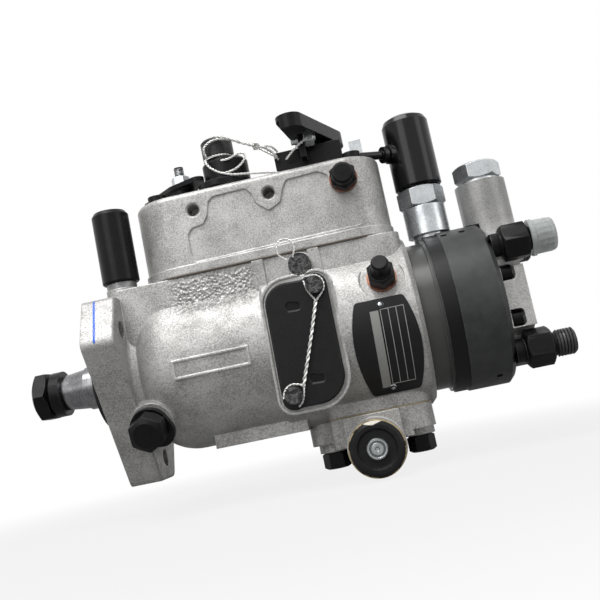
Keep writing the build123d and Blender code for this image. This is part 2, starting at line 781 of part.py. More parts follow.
washer_thickness = 1.5
plug_hex_height = 6
plug_hex = hex_blank(13, plug_hex_height)
plug_crown_start = deck_half_width + washer_thickness + plug_hex_height
with BuildPart() as cover_plug:
    with Locations(Plane(
            origin=(cover_plug_place[0], -deck_half_width - washer_thickness, cover_plug_place[1]),
            z_dir=(0, -1, 0))):
        add(plug_hex)
    turned(bar(deck_half_width - 6, deck_half_width + washer_thickness, plug_thread), plug_plane)
    turned([
        (plug_crown_start, 0), (plug_crown_start, 6), (plug_crown_start + 4.5, 5.6),
        (plug_crown_start + 5.5, 4.6), (plug_crown_start + 5.5, 0)], plug_plane)
save(cover_plug, "cover_plug")

with BuildPart() as sealing_washers:
    turned(bar(0, washer_thickness, 7.6, fitting_thread + 0.2), vent_plane)
    turned(bar(deck_half_width, deck_half_width + washer_thickness, 7.4, plug_thread + tapping_gap), plug_plane)
save(sealing_washers, "sealing_washers")

# ---------------------------------------------------------------- side cover plate and its screws
with BuildPart() as side_cover_plate:
    with BuildSketch(Plane.XZ.offset(side_pad_y)):
        rounded_outline(side_plate_corners)
    extrude(amount=side_plate_thickness)
    chamfer(side_cover_plate.faces().sort_by(Axis.Y)[0].edges(), 0.8)
    for x, z in (side_screw_2, side_screw_3):
        turned(bar(side_pad_y, side_face_y, 2.9), lathe_plane((x, 0, z), (0, -1, 0)), mode=Mode.SUBTRACT)
    for place in ((107.3, 15.2), (112, -21.9)):
        with BuildSketch(Plane.XZ.offset(side_face_y)):
            with Locations(place):
                SlotOverall(7.8, 4.4, rotation=-12)
        extrude(amount=-1.2, mode=Mode.SUBTRACT)
save(side_cover_plate, "side_cover_plate")

with BuildPart() as tamper_screws:
    turned(bar(side_screw_1_seat - side_screw_1_grip, side_screw_1_seat, bolt_thread), screw_1_plane)
    turned(bar(side_screw_1_seat, side_screw_1_seat + side_screw_1_head, side_screw_1_radius), screw_1_plane)
    for x, z in (side_screw_2, side_screw_3):
        screw_plane = lathe_plane((x, 0, z), (0, -1, 0))
        turned(bar(side_face_y - side_screw_grip, side_face_y, screw_thread), screw_plane)
        turned(bar(side_face_y, side_face_y + 4.6, side_screw_radius), screw_plane)
save(tamper_screws, "tamper_screws")

plate_finish_x = body_end_x - plate_rear_gap
plate_start_x = plate_finish_x - plate_width
plate_bottom_z = -sqrt(body_rear_radius ** 2 - (advance_half_width + plate_pad_gap) ** 2)
plate_middle_z = (plate_top_z + plate_bottom_z) / 2
with BuildPart() as name_plate:
    with BuildSketch(Plane.XZ) as plate_outline:
        with BuildLine():
            ThreePointArc(
                (plate_start_x, plate_bottom_z), (plate_start_x - plate_bulge, plate_middle_z),
                (plate_start_x, plate_top_z))
            Line((plate_start_x, plate_top_z), (plate_finish_x, plate_top_z))
            ThreePointArc(
                (plate_finish_x, plate_top_z), (plate_finish_x + plate_bulge, plate_middle_z),
                (plate_finish_x, plate_bottom_z))
            Line((plate_finish_x, plate_bottom_z), (plate_start_x, plate_bottom_z))
        make_face()
        fillet(plate_outline.vertices(), 2.2)
    extrude(amount=60)
    turned(bar(cam_x - 10, body_end_x, body_rear_radius + 0.55, body_rear_radius + seat_gap),
           mode=Mode.INTERSECT)
    for x, z in ((plate_start_x + 12.3, plate_top_z - 3.1), (plate_start_x + 10.4, plate_bottom_z + 3)):
        angle = degrees(asin(z / (body_rear_radius + 0.5)))
        rivet_plane = lathe_plane((x, 0, 0), (0, -cos(radians(angle)), sin(radians(angle))))
        turned(bar(body_rear_radius + seat_gap, body_rear_radius + 1.3, 1.7), rivet_plane)
save(name_plate, "name_plate")

# ---------------------------------------------------------------- vent screw, shaft lock, drain tube
vent_hex = hex_blank(vent_hex_flats, vent_hex_length)
vent_head_start = washer_thickness + vent_hex_length
with BuildPart() as vent_screw:
    with Locations(Plane(origin=along(vent_plane, washer_thickness), z_dir=vent_direction)):
        add(vent_hex)
    turned([
        (0.5 - vent_hole_depth, 0), (0.5 - vent_hole_depth, fitting_thread), (vent_head_start, fitting_thread),
        (vent_head_start, vent_head_radius + 1.2), (vent_head_start + 2, vent_head_radius),
        (vent_head_start + vent_head_length - 1, vent_head_radius),
        (vent_head_start + vent_head_length, vent_head_radius - 1),
        (vent_head_start + vent_head_length, 0)], vent_plane)
save(vent_screw, "vent_screw")

lock_hex = hex_blank(lock_flats, lock_hex_height, lock_bevel)
lock_head_start = lock_boss_face + lock_keeper_thickness
lock_hex_start = lock_head_start + lock_collar
with BuildPart() as shaft_lock_screw:
    with Locations(Plane(origin=along(lock_plane, lock_hex_start), z_dir=lock_direction)):
        add(lock_hex)
    turned([
        (-15, 0), (-15, fitting_thread), (lock_head_start, fitting_thread), (lock_head_start, 7.6),
        (lock_hex_start, 7.6), (lock_hex_start, 0)], lock_plane)
    # keeper plate under the head
    with BuildSketch(lock_face_plane):
        lock_keeper_outline(0)
    extrude(amount=lock_keeper_thickness)
save(shaft_lock_screw, "shaft_lock_screw")

with BuildPart() as return_connector:
    turned([
        (tube_seat_z - tube_grip, tube_duct_radius), (tube_seat_z - tube_grip, fitting_thread),
        (tube_seat_z, fitting_thread), (tube_seat_z, tube_collar_radius),
        (tube_seat_z + tube_collar_height, tube_collar_radius),
        (tube_seat_z + tube_collar_height, tube_bore_radius - slide_gap),
        (tube_sleeve_top_z - 2, tube_bore_radius - slide_gap), (tube_sleeve_top_z - 2, tube_connector_bore),
        (tube_seat_z + 5.8, tube_connector_bore), (tube_seat_z + 1.8, tube_duct_radius)],
        upright["tube"])
save(return_connector, "return_connector")

with BuildPart() as return_sleeve:
    turned([
        (tube_sleeve_bottom_z + 2.4, tube_bore_radius), (tube_sleeve_bottom_z + 2.4, tube_sleeve_radius - 0.6),
        (tube_sleeve_bottom_z + 3, tube_sleeve_radius), (tube_sleeve_top_z - 2, tube_sleeve_radius),
        (tube_sleeve_top_z, tube_sleeve_radius - 1.4), (tube_sleeve_top_z, tube_bore_radius + 0.8),
        (tube_sleeve_top_z - 1, tube_bore_radius)], upright["tube"])
save(return_sleeve, "return_sleeve")

# ---------------------------------------------------------------- hydraulic head
union_spigot_start_x = head_ring_end_x - union_spigot_depth
with BuildPart() as hydraulic_head:
    turned([
        (head_spigot_start_x, head_sleeve_radius), (head_spigot_start_x, head_bore_radius - seat_gap),
        (body_end_x, head_bore_radius - seat_gap), (body_end_x, head_neck_radius),
        (head_neck_end_x, head_neck_radius), (head_neck_end_x, head_ridge_radius),
        (head_neck_end_x + head_ridge_width, head_ridge_radius),
        (head_neck_end_x + head_ridge_width, head_band_radius),
        (head_ring_start_x, head_band_radius), (head_ring_start_x, head_ring_radius),
        (head_ring_end_x - head_ring_chamfer, head_ring_radius),
        (head_ring_end_x, head_ring_radius - head_ring_chamfer), (head_ring_end_x, head_sleeve_radius)])
    with BuildSketch(Plane.XY.offset(valve_shoulder_z)):
        with Locations((head_spigot_start_x + 5, 0)):
            Rectangle(14, 60)
    extrude(amount=10, mode=Mode.SUBTRACT)
    turned(bar(valve_bottom_z - 1, valve_shoulder_z, valve_radius + running_gap), upright["valve"],
           mode=Mode.SUBTRACT)
    turned(bar(solenoid_seat_z - solenoid_thread_depth, head_ring_radius + 1, solenoid_thread_radius),
           upright["solenoid"], mode=Mode.SUBTRACT)
    turned(bar(solenoid_seat_z - solenoid_thread_depth - 6, head_ring_radius, solenoid_plunger_radius + 0.6),
           upright["solenoid"], mode=Mode.SUBTRACT)
    turned(bar(solenoid_seat_z, head_ring_radius + 1, solenoid_body_radius + 1), upright["solenoid"],
           mode=Mode.SUBTRACT)
    turned(bar(-head_bore_radius, advance_bolt_top_z[1] + 0.5, bolt_thread + tapping_gap),
           lathe_plane((advance_bolt_x[1], 0, 0), (0, 0, 1)), mode=Mode.SUBTRACT)
    for x, angle in set_screw_places:
        dy, dz = polar(1, angle)
        turned(bar(head_ring_radius - set_screw_hole_depth, head_ring_radius + 1, set_screw_hole_radius),
               lathe_plane((x, 0, 0), (0, dy, dz)), mode=Mode.SUBTRACT)
    with BuildSketch(Plane.YZ.offset(head_ring_end_x)):
        with Locations(*union_places):
            Circle(union_spigot_radius)
    extrude(amount=-union_spigot_depth, mode=Mode.SUBTRACT)
    for y in (-1, 1):
        for z in (-1, 1):
            turned(bar(head_ring_end_x - 8, head_ring_end_x, screw_thread + tapping_gap),
                   lathe_plane((0, pocket_y * y, pocket_z * z), (1, 0, 0)), mode=Mode.SUBTRACT)
save(hydraulic_head, "hydraulic_head")

with BuildPart() as head_sleeve:
    turned(bar(head_sleeve_start_x, head_ring_end_x, head_sleeve_radius - seat_gap,
               rotor_radius + running_gap))
save(head_sleeve, "head_sleeve")

union_hex = hex_blank(union_across_flats, union_hex_length, 1.2)
with BuildPart() as delivery_unions:
    for (y, z), turn in zip(union_places, union_turns):
        union_plane = lathe_plane((0, y, z), (1, 0, 0))
        with Locations(Plane(origin=(union_hex_start_x, y, z), z_dir=(1, 0, 0))):
            add(union_hex, rotation=(0, 0, turn))
        turned(bar(union_spigot_start_x, head_ring_end_x, union_spigot_radius - seat_gap), union_plane)
        turned(bar(head_ring_end_x, union_hex_start_x, union_neck_radius), union_plane)
        turned([
            (union_hex_start_x + union_hex_length, 0), (union_hex_start_x + union_hex_length, 6),
            (union_hex_start_x + union_hex_length + 1.5, union_thread_radius),
            (union_end_x - 1, union_thread_radius), (union_end_x, union_thread_radius - 1),
            (union_end_x, 0)], union_plane)
        turned([
            (union_spigot_start_x, 0), (union_spigot_start_x, union_bore_radius),
            (union_end_x - union_cone_depth, union_bore_radius), (union_end_x, 5), (union_end_x, 0)],
            union_plane, mode=Mode.SUBTRACT)
save(delivery_unions, "delivery_unions")

capped_y, capped_z = union_places[1]
with BuildPart() as union_cap:
    turned([
        (cap_start_x, union_thread_radius + slide_gap), (cap_start_x, cap_rim_radius),
        (cap_start_x + cap_rim_width, cap_rim_radius), (cap_start_x + cap_rim_width, cap_radius),
        (cap_end_x - 0.8, cap_radius), (cap_end_x, cap_radius - 0.8), (cap_end_x, 0), (cap_end_x - cap_wall, 0),
        (cap_end_x - cap_wall, cap_radius - 2 * cap_wall), (union_end_x + 0.5, cap_radius - 2 * cap_wall),
        (union_end_x + 0.5, union_thread_radius + slide_gap)],
        lathe_plane((0, capped_y, capped_z), (1, 0, 0)))
save(union_cap, "union_cap")

# ---------------------------------------------------------------- end plate with the inlet
liner_start_x = head_ring_end_x + 0.5
liner_end_x = liner_start_x + liner_length
with BuildPart() as end_plate:
    with BuildSketch(Plane.YZ.offset(head_ring_end_x)) as plate_face:
        Rectangle(2 * plate_half_width, 2 * plate_half_height)
        Rectangle(34, 2 * plate_radius)
        with Locations(*union_places):
            Circle(union_clearance_radius, mode=Mode.SUBTRACT)
    extrude(amount=plate_end_x - head_ring_end_x)
    turned([
        (plate_end_x - 2, 0), (plate_end_x - 2, plate_boss_radius + 2),
        (plate_end_x, plate_boss_radius + 1), (plate_boss_end_x - 1, plate_boss_radius),
        (plate_boss_end_x, plate_boss_radius - 1), (plate_boss_end_x, 0)])
    turned(bar(20, inlet_boss_top_z, inlet_boss_radius), upright["inlet"])
    turned(bar(head_spigot_start_x, head_ring_end_x, head_ring_radius + slide_gap), mode=Mode.SUBTRACT)
    turned(bar(head_ring_end_x, liner_end_x + 0.3, liner_radius + seat_gap), mode=Mode.SUBTRACT)
    turned(bar(30, inlet_boss_top_z, inlet_bore_radius), upright["inlet"], mode=Mode.SUBTRACT)
    turned(bar(inlet_boss_top_z - inlet_spigot_depth, inlet_boss_top_z, inlet_spigot_radius),
           upright["inlet"], mode=Mode.SUBTRACT)
    for y in (-1, 1):
        for z in (-1, 1):
            with BuildSketch(Plane.XZ.offset(-y * plate_half_width)) as screw_pocket:
                with Locations((pocket_start_x + pocket_length / 2, z * pocket_z)):
                    Rectangle(pocket_length, pocket_width)
                fillet(screw_pocket.vertices().group_by(Axis.X)[-1], pocket_corner)
            extrude(amount=y * (plate_half_width - pocket_floor_y), mode=Mode.SUBTRACT)
            turned(bar(head_ring_end_x, plate_end_x, screw_thread + 2 * tapping_gap),
                   lathe_plane((0, pocket_y * y, pocket_z * z), (1, 0, 0)), mode=Mode.SUBTRACT)
save(end_plate, "end_plate")

with BuildPart() as end_plate_screws:
    for y in (-1, 1):
        for z in (-1, 1):
            screw_plane = lathe_plane((0, pocket_y * y, pocket_z * z), (1, 0, 0))
            turned(bar(head_ring_end_x - 7, pocket_start_x, screw_thread), screw_plane)
            turned(bar(pocket_start_x, pocket_start_x + screw_head_length, screw_head_radius), screw_plane)
            with BuildSketch(Plane(origin=(pocket_start_x + screw_head_length, pocket_y * y, pocket_z * z),
                                   z_dir=(1, 0, 0))):
                RegularPolygon(2, 6, major_radius=False)
            extrude(amount=-3, mode=Mode.SUBTRACT)
save(end_plate_screws, "end_plate_screws")

inlet_hex = hex_blank(inlet_across_flats, inlet_hex_end_z - inlet_hex_start_z, 1)
with BuildPart() as inlet_adaptor:
    with Locations((inlet_x, 0, inlet_hex_start_z)):
        add(inlet_hex)
    turned(bar(inlet_boss_top_z - inlet_spigot_depth + 0.5, inlet_boss_top_z, inlet_spigot_radius - seat_gap),
           upright["inlet"])
    turned(bar(inlet_boss_top_z, inlet_hex_start_z, inlet_spigot_radius + 1.6), upright["inlet"])
    turned(bar(inlet_boss_top_z - inlet_spigot_depth, inlet_hex_end_z, inlet_bore_radius),
           upright["inlet"], mode=Mode.SUBTRACT)
    turned(bar(inlet_hex_end_z - inlet_thread_length, inlet_hex_end_z, inlet_thread_radius), upright["inlet"],
           mode=Mode.SUBTRACT)
save(inlet_adaptor, "inlet_adaptor")

with BuildPart() as transfer_pump_liner:
    turned(bar(liner_start_x, liner_end_x, liner_radius))
    turned(bar(liner_start_x, liner_end_x, liner_bore_radius), lathe_plane((0, liner_offset, 0), (1, 0, 0)),
           mode=Mode.SUBTRACT)
save(transfer_pump_liner, "transfer_pump_liner")

# ---------------------------------------------------------------- stop solenoid on the head
solenoid_hex = hex_blank(solenoid_across_flats, solenoid_hex_end_z - solenoid_hex_start_z, 1)
solenoid_cavity_top_z = solenoid_hex_end_z - 2
with BuildPart() as solenoid_body:
    with Locations((solenoid_x, 0, solenoid_hex_start_z)):
        add(solenoid_hex)
    turned(bar(solenoid_seat_z - solenoid_thread_depth + 0.5, solenoid_seat_z,
               solenoid_thread_radius - seat_gap), upright["solenoid"])
    turned(bar(solenoid_seat_z, solenoid_hex_start_z, solenoid_body_radius), upright["solenoid"])
    turned(bar(solenoid_seat_z - solenoid_thread_depth, solenoid_cavity_top_z,
               solenoid_plunger_radius + running_gap), upright["solenoid"], mode=Mode.SUBTRACT)
save(solenoid_body, "solenoid_body")

terminal_direction = (cos(radians(terminal_angle)), sin(radians(terminal_angle)), 0)
terminal_plane = lathe_plane((solenoid_x, 0, terminal_z), terminal_direction)
with BuildPart() as solenoid_can:
    turned([
        (solenoid_hex_end_z, 0), (solenoid_hex_end_z, solenoid_can_radius - 1),
        (solenoid_hex_end_z + 1, solenoid_can_radius),
        (solenoid_can_end_z - solenoid_can_crown, solenoid_can_radius),
        (solenoid_can_end_z - solenoid_can_crown / 3, solenoid_can_radius - solenoid_can_crown / 3),
        (solenoid_can_end_z, solenoid_can_radius - solenoid_can_crown), (solenoid_can_end_z, 0)],
        upright["solenoid"])
    turned(bar(solenoid_can_radius - 4, terminal_reach, terminal_rod_radius), terminal_plane)
    turned(bar(solenoid_can_radius - 4, solenoid_can_radius + 2, terminal_collar_radius + 0.6),
           terminal_plane)
    turned(bar(solenoid_can_radius + 2.6, solenoid_can_radius + 5.4, terminal_collar_radius), terminal_plane)
save(solenoid_can, "solenoid_can")

plunger_top_z = solenoid_cavity_top_z - solenoid_stroke - 1
with BuildPart() as solenoid_plunger:
    turned([
        (28.5, 0), (31.5, 2.6), (40, 2.6), (40, solenoid_plunger_radius),
        (plunger_top_z, solenoid_plunger_radius), (plunger_top_z, 0)], upright["solenoid"])
save(solenoid_plunger, "solenoid_plunger")

# ---------------------------------------------------------------- advance unit below the body
with BuildPart() as advance_gasket:
    with BuildSketch(Plane.XY.offset(advance_joint_z)):
        advance_face(slide_gap / 2)
        with Locations((cam_x, 0)):
            Rectangle(16, 30, mode=Mode.SUBTRACT)
        with Locations(*[(x, 0) for x in advance_bolt_x]):
            Circle(advance_hole_radius, mode=Mode.SUBTRACT)
    extrude(amount=-gasket_thickness)
save(advance_gasket, "advance_gasket")

advance_top_z = advance_joint_z - gasket_thickness
with BuildPart() as advance_housing:
    with BuildSketch(Plane.XY.offset(advance_top_z)):
        advance_face()
    extrude(amount=advance_lug_bottom_z - advance_top_z)
    with BuildSketch(Plane.XY.offset(advance_top_z)):
        with Locations(((advance_block_start_x + advance_block_end_x) / 2, 0)):
            RectangleRounded(
                advance_block_end_x - advance_block_start_x, 2 * (advance_half_width + advance_block_proud), 2)
    extrude(amount=advance_block_bottom_z - advance_top_z)
    for x in advance_bolt_x:
        turned(bar(advance_bolt_head_z, advance_top_z, advance_boss_radius),
               lathe_plane((x, 0, 0), (0, 0, 1)))
    turned(bar(-advance_cylinder_half_length, advance_cylinder_half_length, advance_cylinder_radius),
           advance_plane)
    with BuildSketch(Plane.XY.offset(advance_top_z)):
        with Locations((cam_x, 0)):
            Rectangle(advance_web_width, 2 * advance_cylinder_half_length - 8)
    extrude(amount=advance_axis_z - advance_top_z)
    turned(bar(-advance_cylinder_half_length, advance_cylinder_half_length, advance_bore_radius),
           advance_plane, mode=Mode.SUBTRACT)
    with BuildSketch(Plane.XY.offset(advance_top_z)):
        with Locations((cam_x, 0)):
            SlotOverall(advance_slot_length, 2 * advance_stem_radius + 3, rotation=90)
    extrude(amount=advance_axis_z - advance_top_z + 4, mode=Mode.SUBTRACT)
    for x in advance_bolt_x:
        turned(bar(advance_bolt_head_z - 1, advance_top_z, advance_hole_radius),
               lathe_plane((x, 0, 0), (0, 0, 1)), mode=Mode.SUBTRACT)
save(advance_housing, "advance_housing")

advance_hex = hex_blank(advance_bolt_flats, advance_bolt_head_height)
with BuildPart() as advance_bolts:
    for x, top_z in zip(advance_bolt_x, advance_bolt_top_z):
        with Locations(Plane(origin=(x, 0, advance_bolt_head_z), z_dir=(0, 0, -1))):
            add(advance_hex)
        turned(bar(advance_bolt_head_z, top_z, bolt_thread), lathe_plane((x, 0, 0), (0, 0, 1)))
save(advance_bolts, "advance_bolts")

far_plane = lathe_plane((cam_x, 0, advance_axis_z), (0, 1, 0))
with BuildPart() as advance_caps:
    turned([
        (advance_cylinder_half_length - 9, 0),
        (advance_cylinder_half_length - 9, advance_bore_radius - seat_gap),
        (advance_cylinder_half_length, advance_bore_radius - seat_gap),
        (advance_cylinder_half_length, advance_cap_radius - 1),
        (advance_cylinder_half_length + 1, advance_cap_radius),
        (advance_cap_face_y - 2, advance_cap_radius), (advance_cap_face_y, advance_cap_radius - 2),
        (advance_cap_face_y, 10), (advance_cap_face_y - 1, 9), (advance_cap_face_y - 1, 5.4),
        (advance_cap_face_y, 5.2), (advance_cap_face_y, 0)], advance_plane)
    turned([
        (advance_cylinder_half_length - advance_plug_depth, 0),
        (advance_cylinder_half_length - advance_plug_depth, advance_bore_radius - seat_gap),
        (advance_cylinder_half_length, advance_bore_radius - seat_gap), (advance_cylinder_half_length, 12),
        (advance_cylinder_half_length + 5, 12), (advance_cylinder_half_length + 6, 11),
        (advance_cylinder_half_length + 6, 0)], far_plane)
save(advance_caps, "advance_caps")

spring_room = advance_cylinder_half_length - advance_plug_depth - advance_piston_half_length
advance_spring_wire = 0.9
advance_spring_turns = 5
advance_spring_radius = 6.5
with BuildPart() as advance_spring:
    pitch = (spring_room - 2 * advance_spring_wire - 0.4) / advance_spring_turns
    with BuildLine():
        spring_path = Helix(
            pitch, pitch * advance_spring_turns, advance_spring_radius,
            center=along(far_plane, advance_piston_half_length + advance_spring_wire + 0.2),
            direction=(0, 1, 0))
    with BuildSketch(Plane(origin=spring_path @ 0, z_dir=spring_path % 0)):
        Circle(advance_spring_wire)
    sweep()
save(advance_spring, "advance_spring")

# ---------------------------------------------------------------- fittings on top of the cover
with BuildPart() as adjuster_body:
    with BuildSketch(Plane.XY.offset(cover_deck_z)):
        tapered_slot((adjuster_x, adjuster_y), (adjuster_x - 4, adjuster_y - 5), adjuster_hub_radius + 1, 12)
    extrude(amount=3)
    turned([
        (cover_deck_z, 0), (cover_deck_z, adjuster_hub_radius), (adjuster_hub_top_z - 2, adjuster_hub_radius),
        (adjuster_hub_top_z, adjuster_hub_radius - 2), (adjuster_hub_top_z, 0)], upright["adjuster"])
    turned(bar(cover_top_inside_z + 0.5, cover_deck_z, adjuster_spigot_radius - seat_gap), upright["adjuster"])
save(adjuster_body, "adjuster_body")

with BuildPart() as adjuster_cap:
    turned([
        (adjuster_hub_top_z, 0), (adjuster_hub_top_z, adjuster_cap_radius - 1.2),
        (adjuster_hub_top_z + 1.5, adjuster_cap_radius - 1.2), (adjuster_hub_top_z + 1.5, adjuster_cap_radius),
        (adjuster_cap_top_z - 1, adjuster_cap_radius), (adjuster_cap_top_z, adjuster_cap_radius - 1),
        (adjuster_cap_top_z, adjuster_cap_radius - 2.4), (adjuster_cap_top_z - 1.5, adjuster_cap_radius - 2.8),
        (adjuster_cap_top_z - 1.5, 0)], upright["cap"])
save(adjuster_cap, "adjuster_cap")

with BuildPart() as speed_stop_bracket:
    with BuildSketch(Plane.XY.offset(cover_deck_z)):
        with Locations(((bracket_start_x + bracket_end_x) / 2, (bracket_front_y + bracket_back_y) / 2)):
            Rectangle(bracket_end_x - bracket_start_x, bracket_back_y - bracket_front_y)
        with Locations((throttle_x, throttle_y)):
            Circle(throttle_shaft_radius + 1, mode=Mode.SUBTRACT)
    extrude(amount=bracket_wall)
    for y in (bracket_front_y + bracket_wall / 2, bracket_back_y - bracket_wall / 2):
        with BuildSketch(Plane.XZ.offset(-y - bracket_wall / 2)):
            with Locations(((bracket_start_x + bracket_end_x) / 2, (cover_deck_z + bracket_top_z) / 2)):
                Rectangle(bracket_end_x - bracket_start_x, bracket_top_z - cover_deck_z)
        extrude(amount=bracket_wall)
    with BuildSketch(Plane.YZ.offset(stop_screw_x - 5)):
        with Locations(((bracket_front_y + stop_screw_y - 2) / 2, (bracket_top_z + stop_screw_z) / 2 - 3)):
            Rectangle(bracket_front_y - stop_screw_y + 6, stop_screw_z - bracket_top_z + 10)
    extrude(amount=3)
    turned(bar(stop_screw_x - 12, stop_screw_x, 2.1), lathe_plane((0, stop_screw_y, stop_screw_z), (1, 0, 0)),
           mode=Mode.SUBTRACT)
save(speed_stop_bracket, "speed_stop_bracket")

stop_nut = hex_blank(8, 5.6, 0.5)
tab_size = (6.6, 3)
tab_x = 156
tab_y = -8
with BuildPart() as speed_stop_screw:
    stop_screw_plane = lathe_plane((0, stop_screw_y, stop_screw_z), (1, 0, 0))
    turned(bar(stop_screw_x - 9, stop_screw_x + 4.5, 2), stop_screw_plane)
    with Locations(Plane(origin=(stop_screw_x - 2, stop_screw_y, stop_screw_z), z_dir=(1, 0, 0))):
        add(stop_nut)
    with BuildSketch(Plane.XY.offset(cover_top_z)):
        with Locations((tab_x, tab_y)):
            Rectangle(*tab_size)
    extrude(amount=bracket_top_z - cover_top_z)
    with BuildSketch(Plane.XY.offset(cover_top_z)):
        with Locations((tab_x, tab_y + 5)):
            Rectangle(tab_size[0], 13)
    extrude(amount=2)
save(speed_stop_screw, "speed_stop_screw")

# ---------------------------------------------------------------- stop lever (turns on an upright shaft)
stop_crank_z = cover_top_inside_z - 12
with BuildPart() as stop_lever:
    with BuildSketch(Plane.XY.offset(stop_lever_z)):
        tapered_slot((stop_shaft_x, stop_shaft_y), stop_lever_tip, 8.5, 5)
        tapered_slot((stop_shaft_x, stop_shaft_y), stop_lever_tail, 8.5, 4)
        with Locations(stop_lever_tip):
            Circle(stop_lever_hole_radius, mode=Mode.SUBTRACT)
    extrude(amount=stop_lever_thickness)
    turned(bar(stop_crank_z, stop_lever_z, stop_shaft_radius), upright["stop"])
    turned(bar(cover_deck_z + slide_gap, stop_lever_z, 7), upright["stop"])
    turned(bar(stop_lever_z, stop_lever_z + stop_lever_thickness + 11.5, lever_stud_radius), upright["stop"])
    with BuildSketch(Plane.XY.offset(stop_crank_z)):
        tapered_slot((stop_shaft_x, stop_shaft_y), (stop_shaft_x + 9, stop_shaft_y), 5, 2.5)
    extrude(amount=3)
save(stop_lever, "stop_lever")

lever_nut = hex_blank(9, 6, 0.6, bore=lever_stud_radius + seat_gap)
with BuildPart() as stop_lever_nut:
    with Locations((stop_shaft_x, stop_shaft_y, stop_lever_z + stop_lever_thickness)):
        add(lever_nut)
save(stop_lever_nut, "stop_lever_nut")

# ---------------------------------------------------------------- throttle lever and shaft
throttle_crank_z = cover_top_inside_z - 11
with BuildPart() as throttle_shaft:
    turned(bar(cover_top_inside_z - 8, throttle_lever_z, throttle_shaft_radius), upright["throttle"])
    turned(bar(cover_deck_z + bracket_wall + 1, throttle_lever_z, throttle_shaft_radius + 2.5),
           upright["throttle"])
    turned(bar(throttle_lever_z, throttle_lever_z + throttle_lever_thickness + 5, throttle_stud_radius),
           upright["throttle"])
    with BuildSketch(Plane.XY.offset(throttle_crank_z)):
        tapered_slot((throttle_x, throttle_y), (throttle_x - throttle_crank_radius, throttle_y), 7, 4)
    extrude(amount=3)
    turned(bar(cover_top_inside_z - 17, throttle_crank_z, 2),
           lathe_plane((throttle_x - throttle_crank_radius, throttle_y, 0), (0, 0, 1)))
save(throttle_shaft, "throttle_shaft")

with BuildPart() as throttle_lever:
    with BuildSketch(Plane.XY.offset(throttle_lever_z)):
        tapered_slot((throttle_x, throttle_y), throttle_tip, throttle_hub_radius, throttle_tip_radius)
    extrude(amount=throttle_lever_thickness)
    # downturned edge along the side that faces the hydraulic head
    with BuildSketch(Plane.XY.offset(throttle_lever_z)):
        tapered_slot((throttle_x, throttle_y), throttle_tip, throttle_hub_radius, throttle_tip_radius)
        tapered_slot(
            (throttle_x, throttle_y), throttle_tip, throttle_hub_radius - throttle_lever_thickness,
            throttle_tip_radius - throttle_lever_thickness, mode=Mode.SUBTRACT)
        with BuildLine():
            Polyline(
                (throttle_x, throttle_y), (throttle_x, throttle_y + 30), (throttle_x - 60, throttle_y + 30),
                (throttle_x - 60, throttle_y - 90), throttle_tip, close=True)
        make_face(mode=Mode.SUBTRACT)
    extrude(amount=-throttle_flange_depth)
    turned(bar(throttle_lever_z, throttle_lever_z + throttle_lever_thickness, throttle_stud_radius + seat_gap),
           upright["throttle"], mode=Mode.SUBTRACT)
    turned(bar(throttle_lever_z, throttle_lever_z + throttle_lever_thickness, throttle_hole_radius),
           lathe_plane((*throttle_tip, 0), (0, 0, 1)), mode=Mode.SUBTRACT)
save(throttle_lever, "throttle_lever")

# ---------------------------------------------------------------- drive shaft and its nut
shaft_shoulder_x = cage_start_x - 1.5
with BuildPart() as drive_shaft:
    turned([
        (nut_start_x + 1, 0), (nut_start_x + 1, shaft_thread_radius - 1),
        (nut_start_x + 2, shaft_thread_radius),
        (cone_start_x, shaft_thread_radius), (cone_start_x, cone_start_radius),
        (cone_end_x, cone_end_radius), (cone_end_x, shaft_bearing_radius),
        (shaft_shoulder_x, shaft_bearing_radius), (shaft_shoulder_x, shaft_end_radius),
        (sleeve_start_x, shaft_end_radius), (sleeve_start_x, shaft_governor_radius),
        (sleeve_end_x + sleeve_room, shaft_governor_radius), (sleeve_end_x + sleeve_room, shaft_end_radius),
        (tongue_start_x, shaft_end_radius), (tongue_start_x, 0)])
    with BuildSketch(Plane.YZ.offset(tongue_start_x)):
        Rectangle(tongue_width, 2 * shaft_end_radius - 3)
    extrude(amount=tongue_length)
    # half-round key let into the taper
    with BuildSketch(Plane.XY.offset(-key_width / 2)):
        with Locations(((cone_start_x + cone_end_x) / 2, cone_start_radius - 2)):
            Circle(5)
    extrude(amount=key_width)
save(drive_shaft, "drive_shaft")

nut_blank = hex_blank(
    nut_across_flats, washer_start_x - nut_start_x - 1, 1.5, bore=shaft_thread_radius + seat_gap)
with BuildPart() as shaft_nut:
    with Locations(Plane(origin=(nut_start_x, 0, 0), z_dir=(1, 0, 0))):
        add(nut_blank, rotation=(0, 0, nut_turn))
save(shaft_nut, "shaft_nut")

with BuildPart() as shaft_washer:
    turned([
        (washer_start_x - 1, shaft_thread_radius + 0.2), (washer_start_x - 1, washer_radius - 1.5),
        (washer_start_x, washer_radius), (cone_start_x, washer_radius),
        (cone_start_x, shaft_thread_radius + 0.2)])
save(shaft_washer, "shaft_washer")

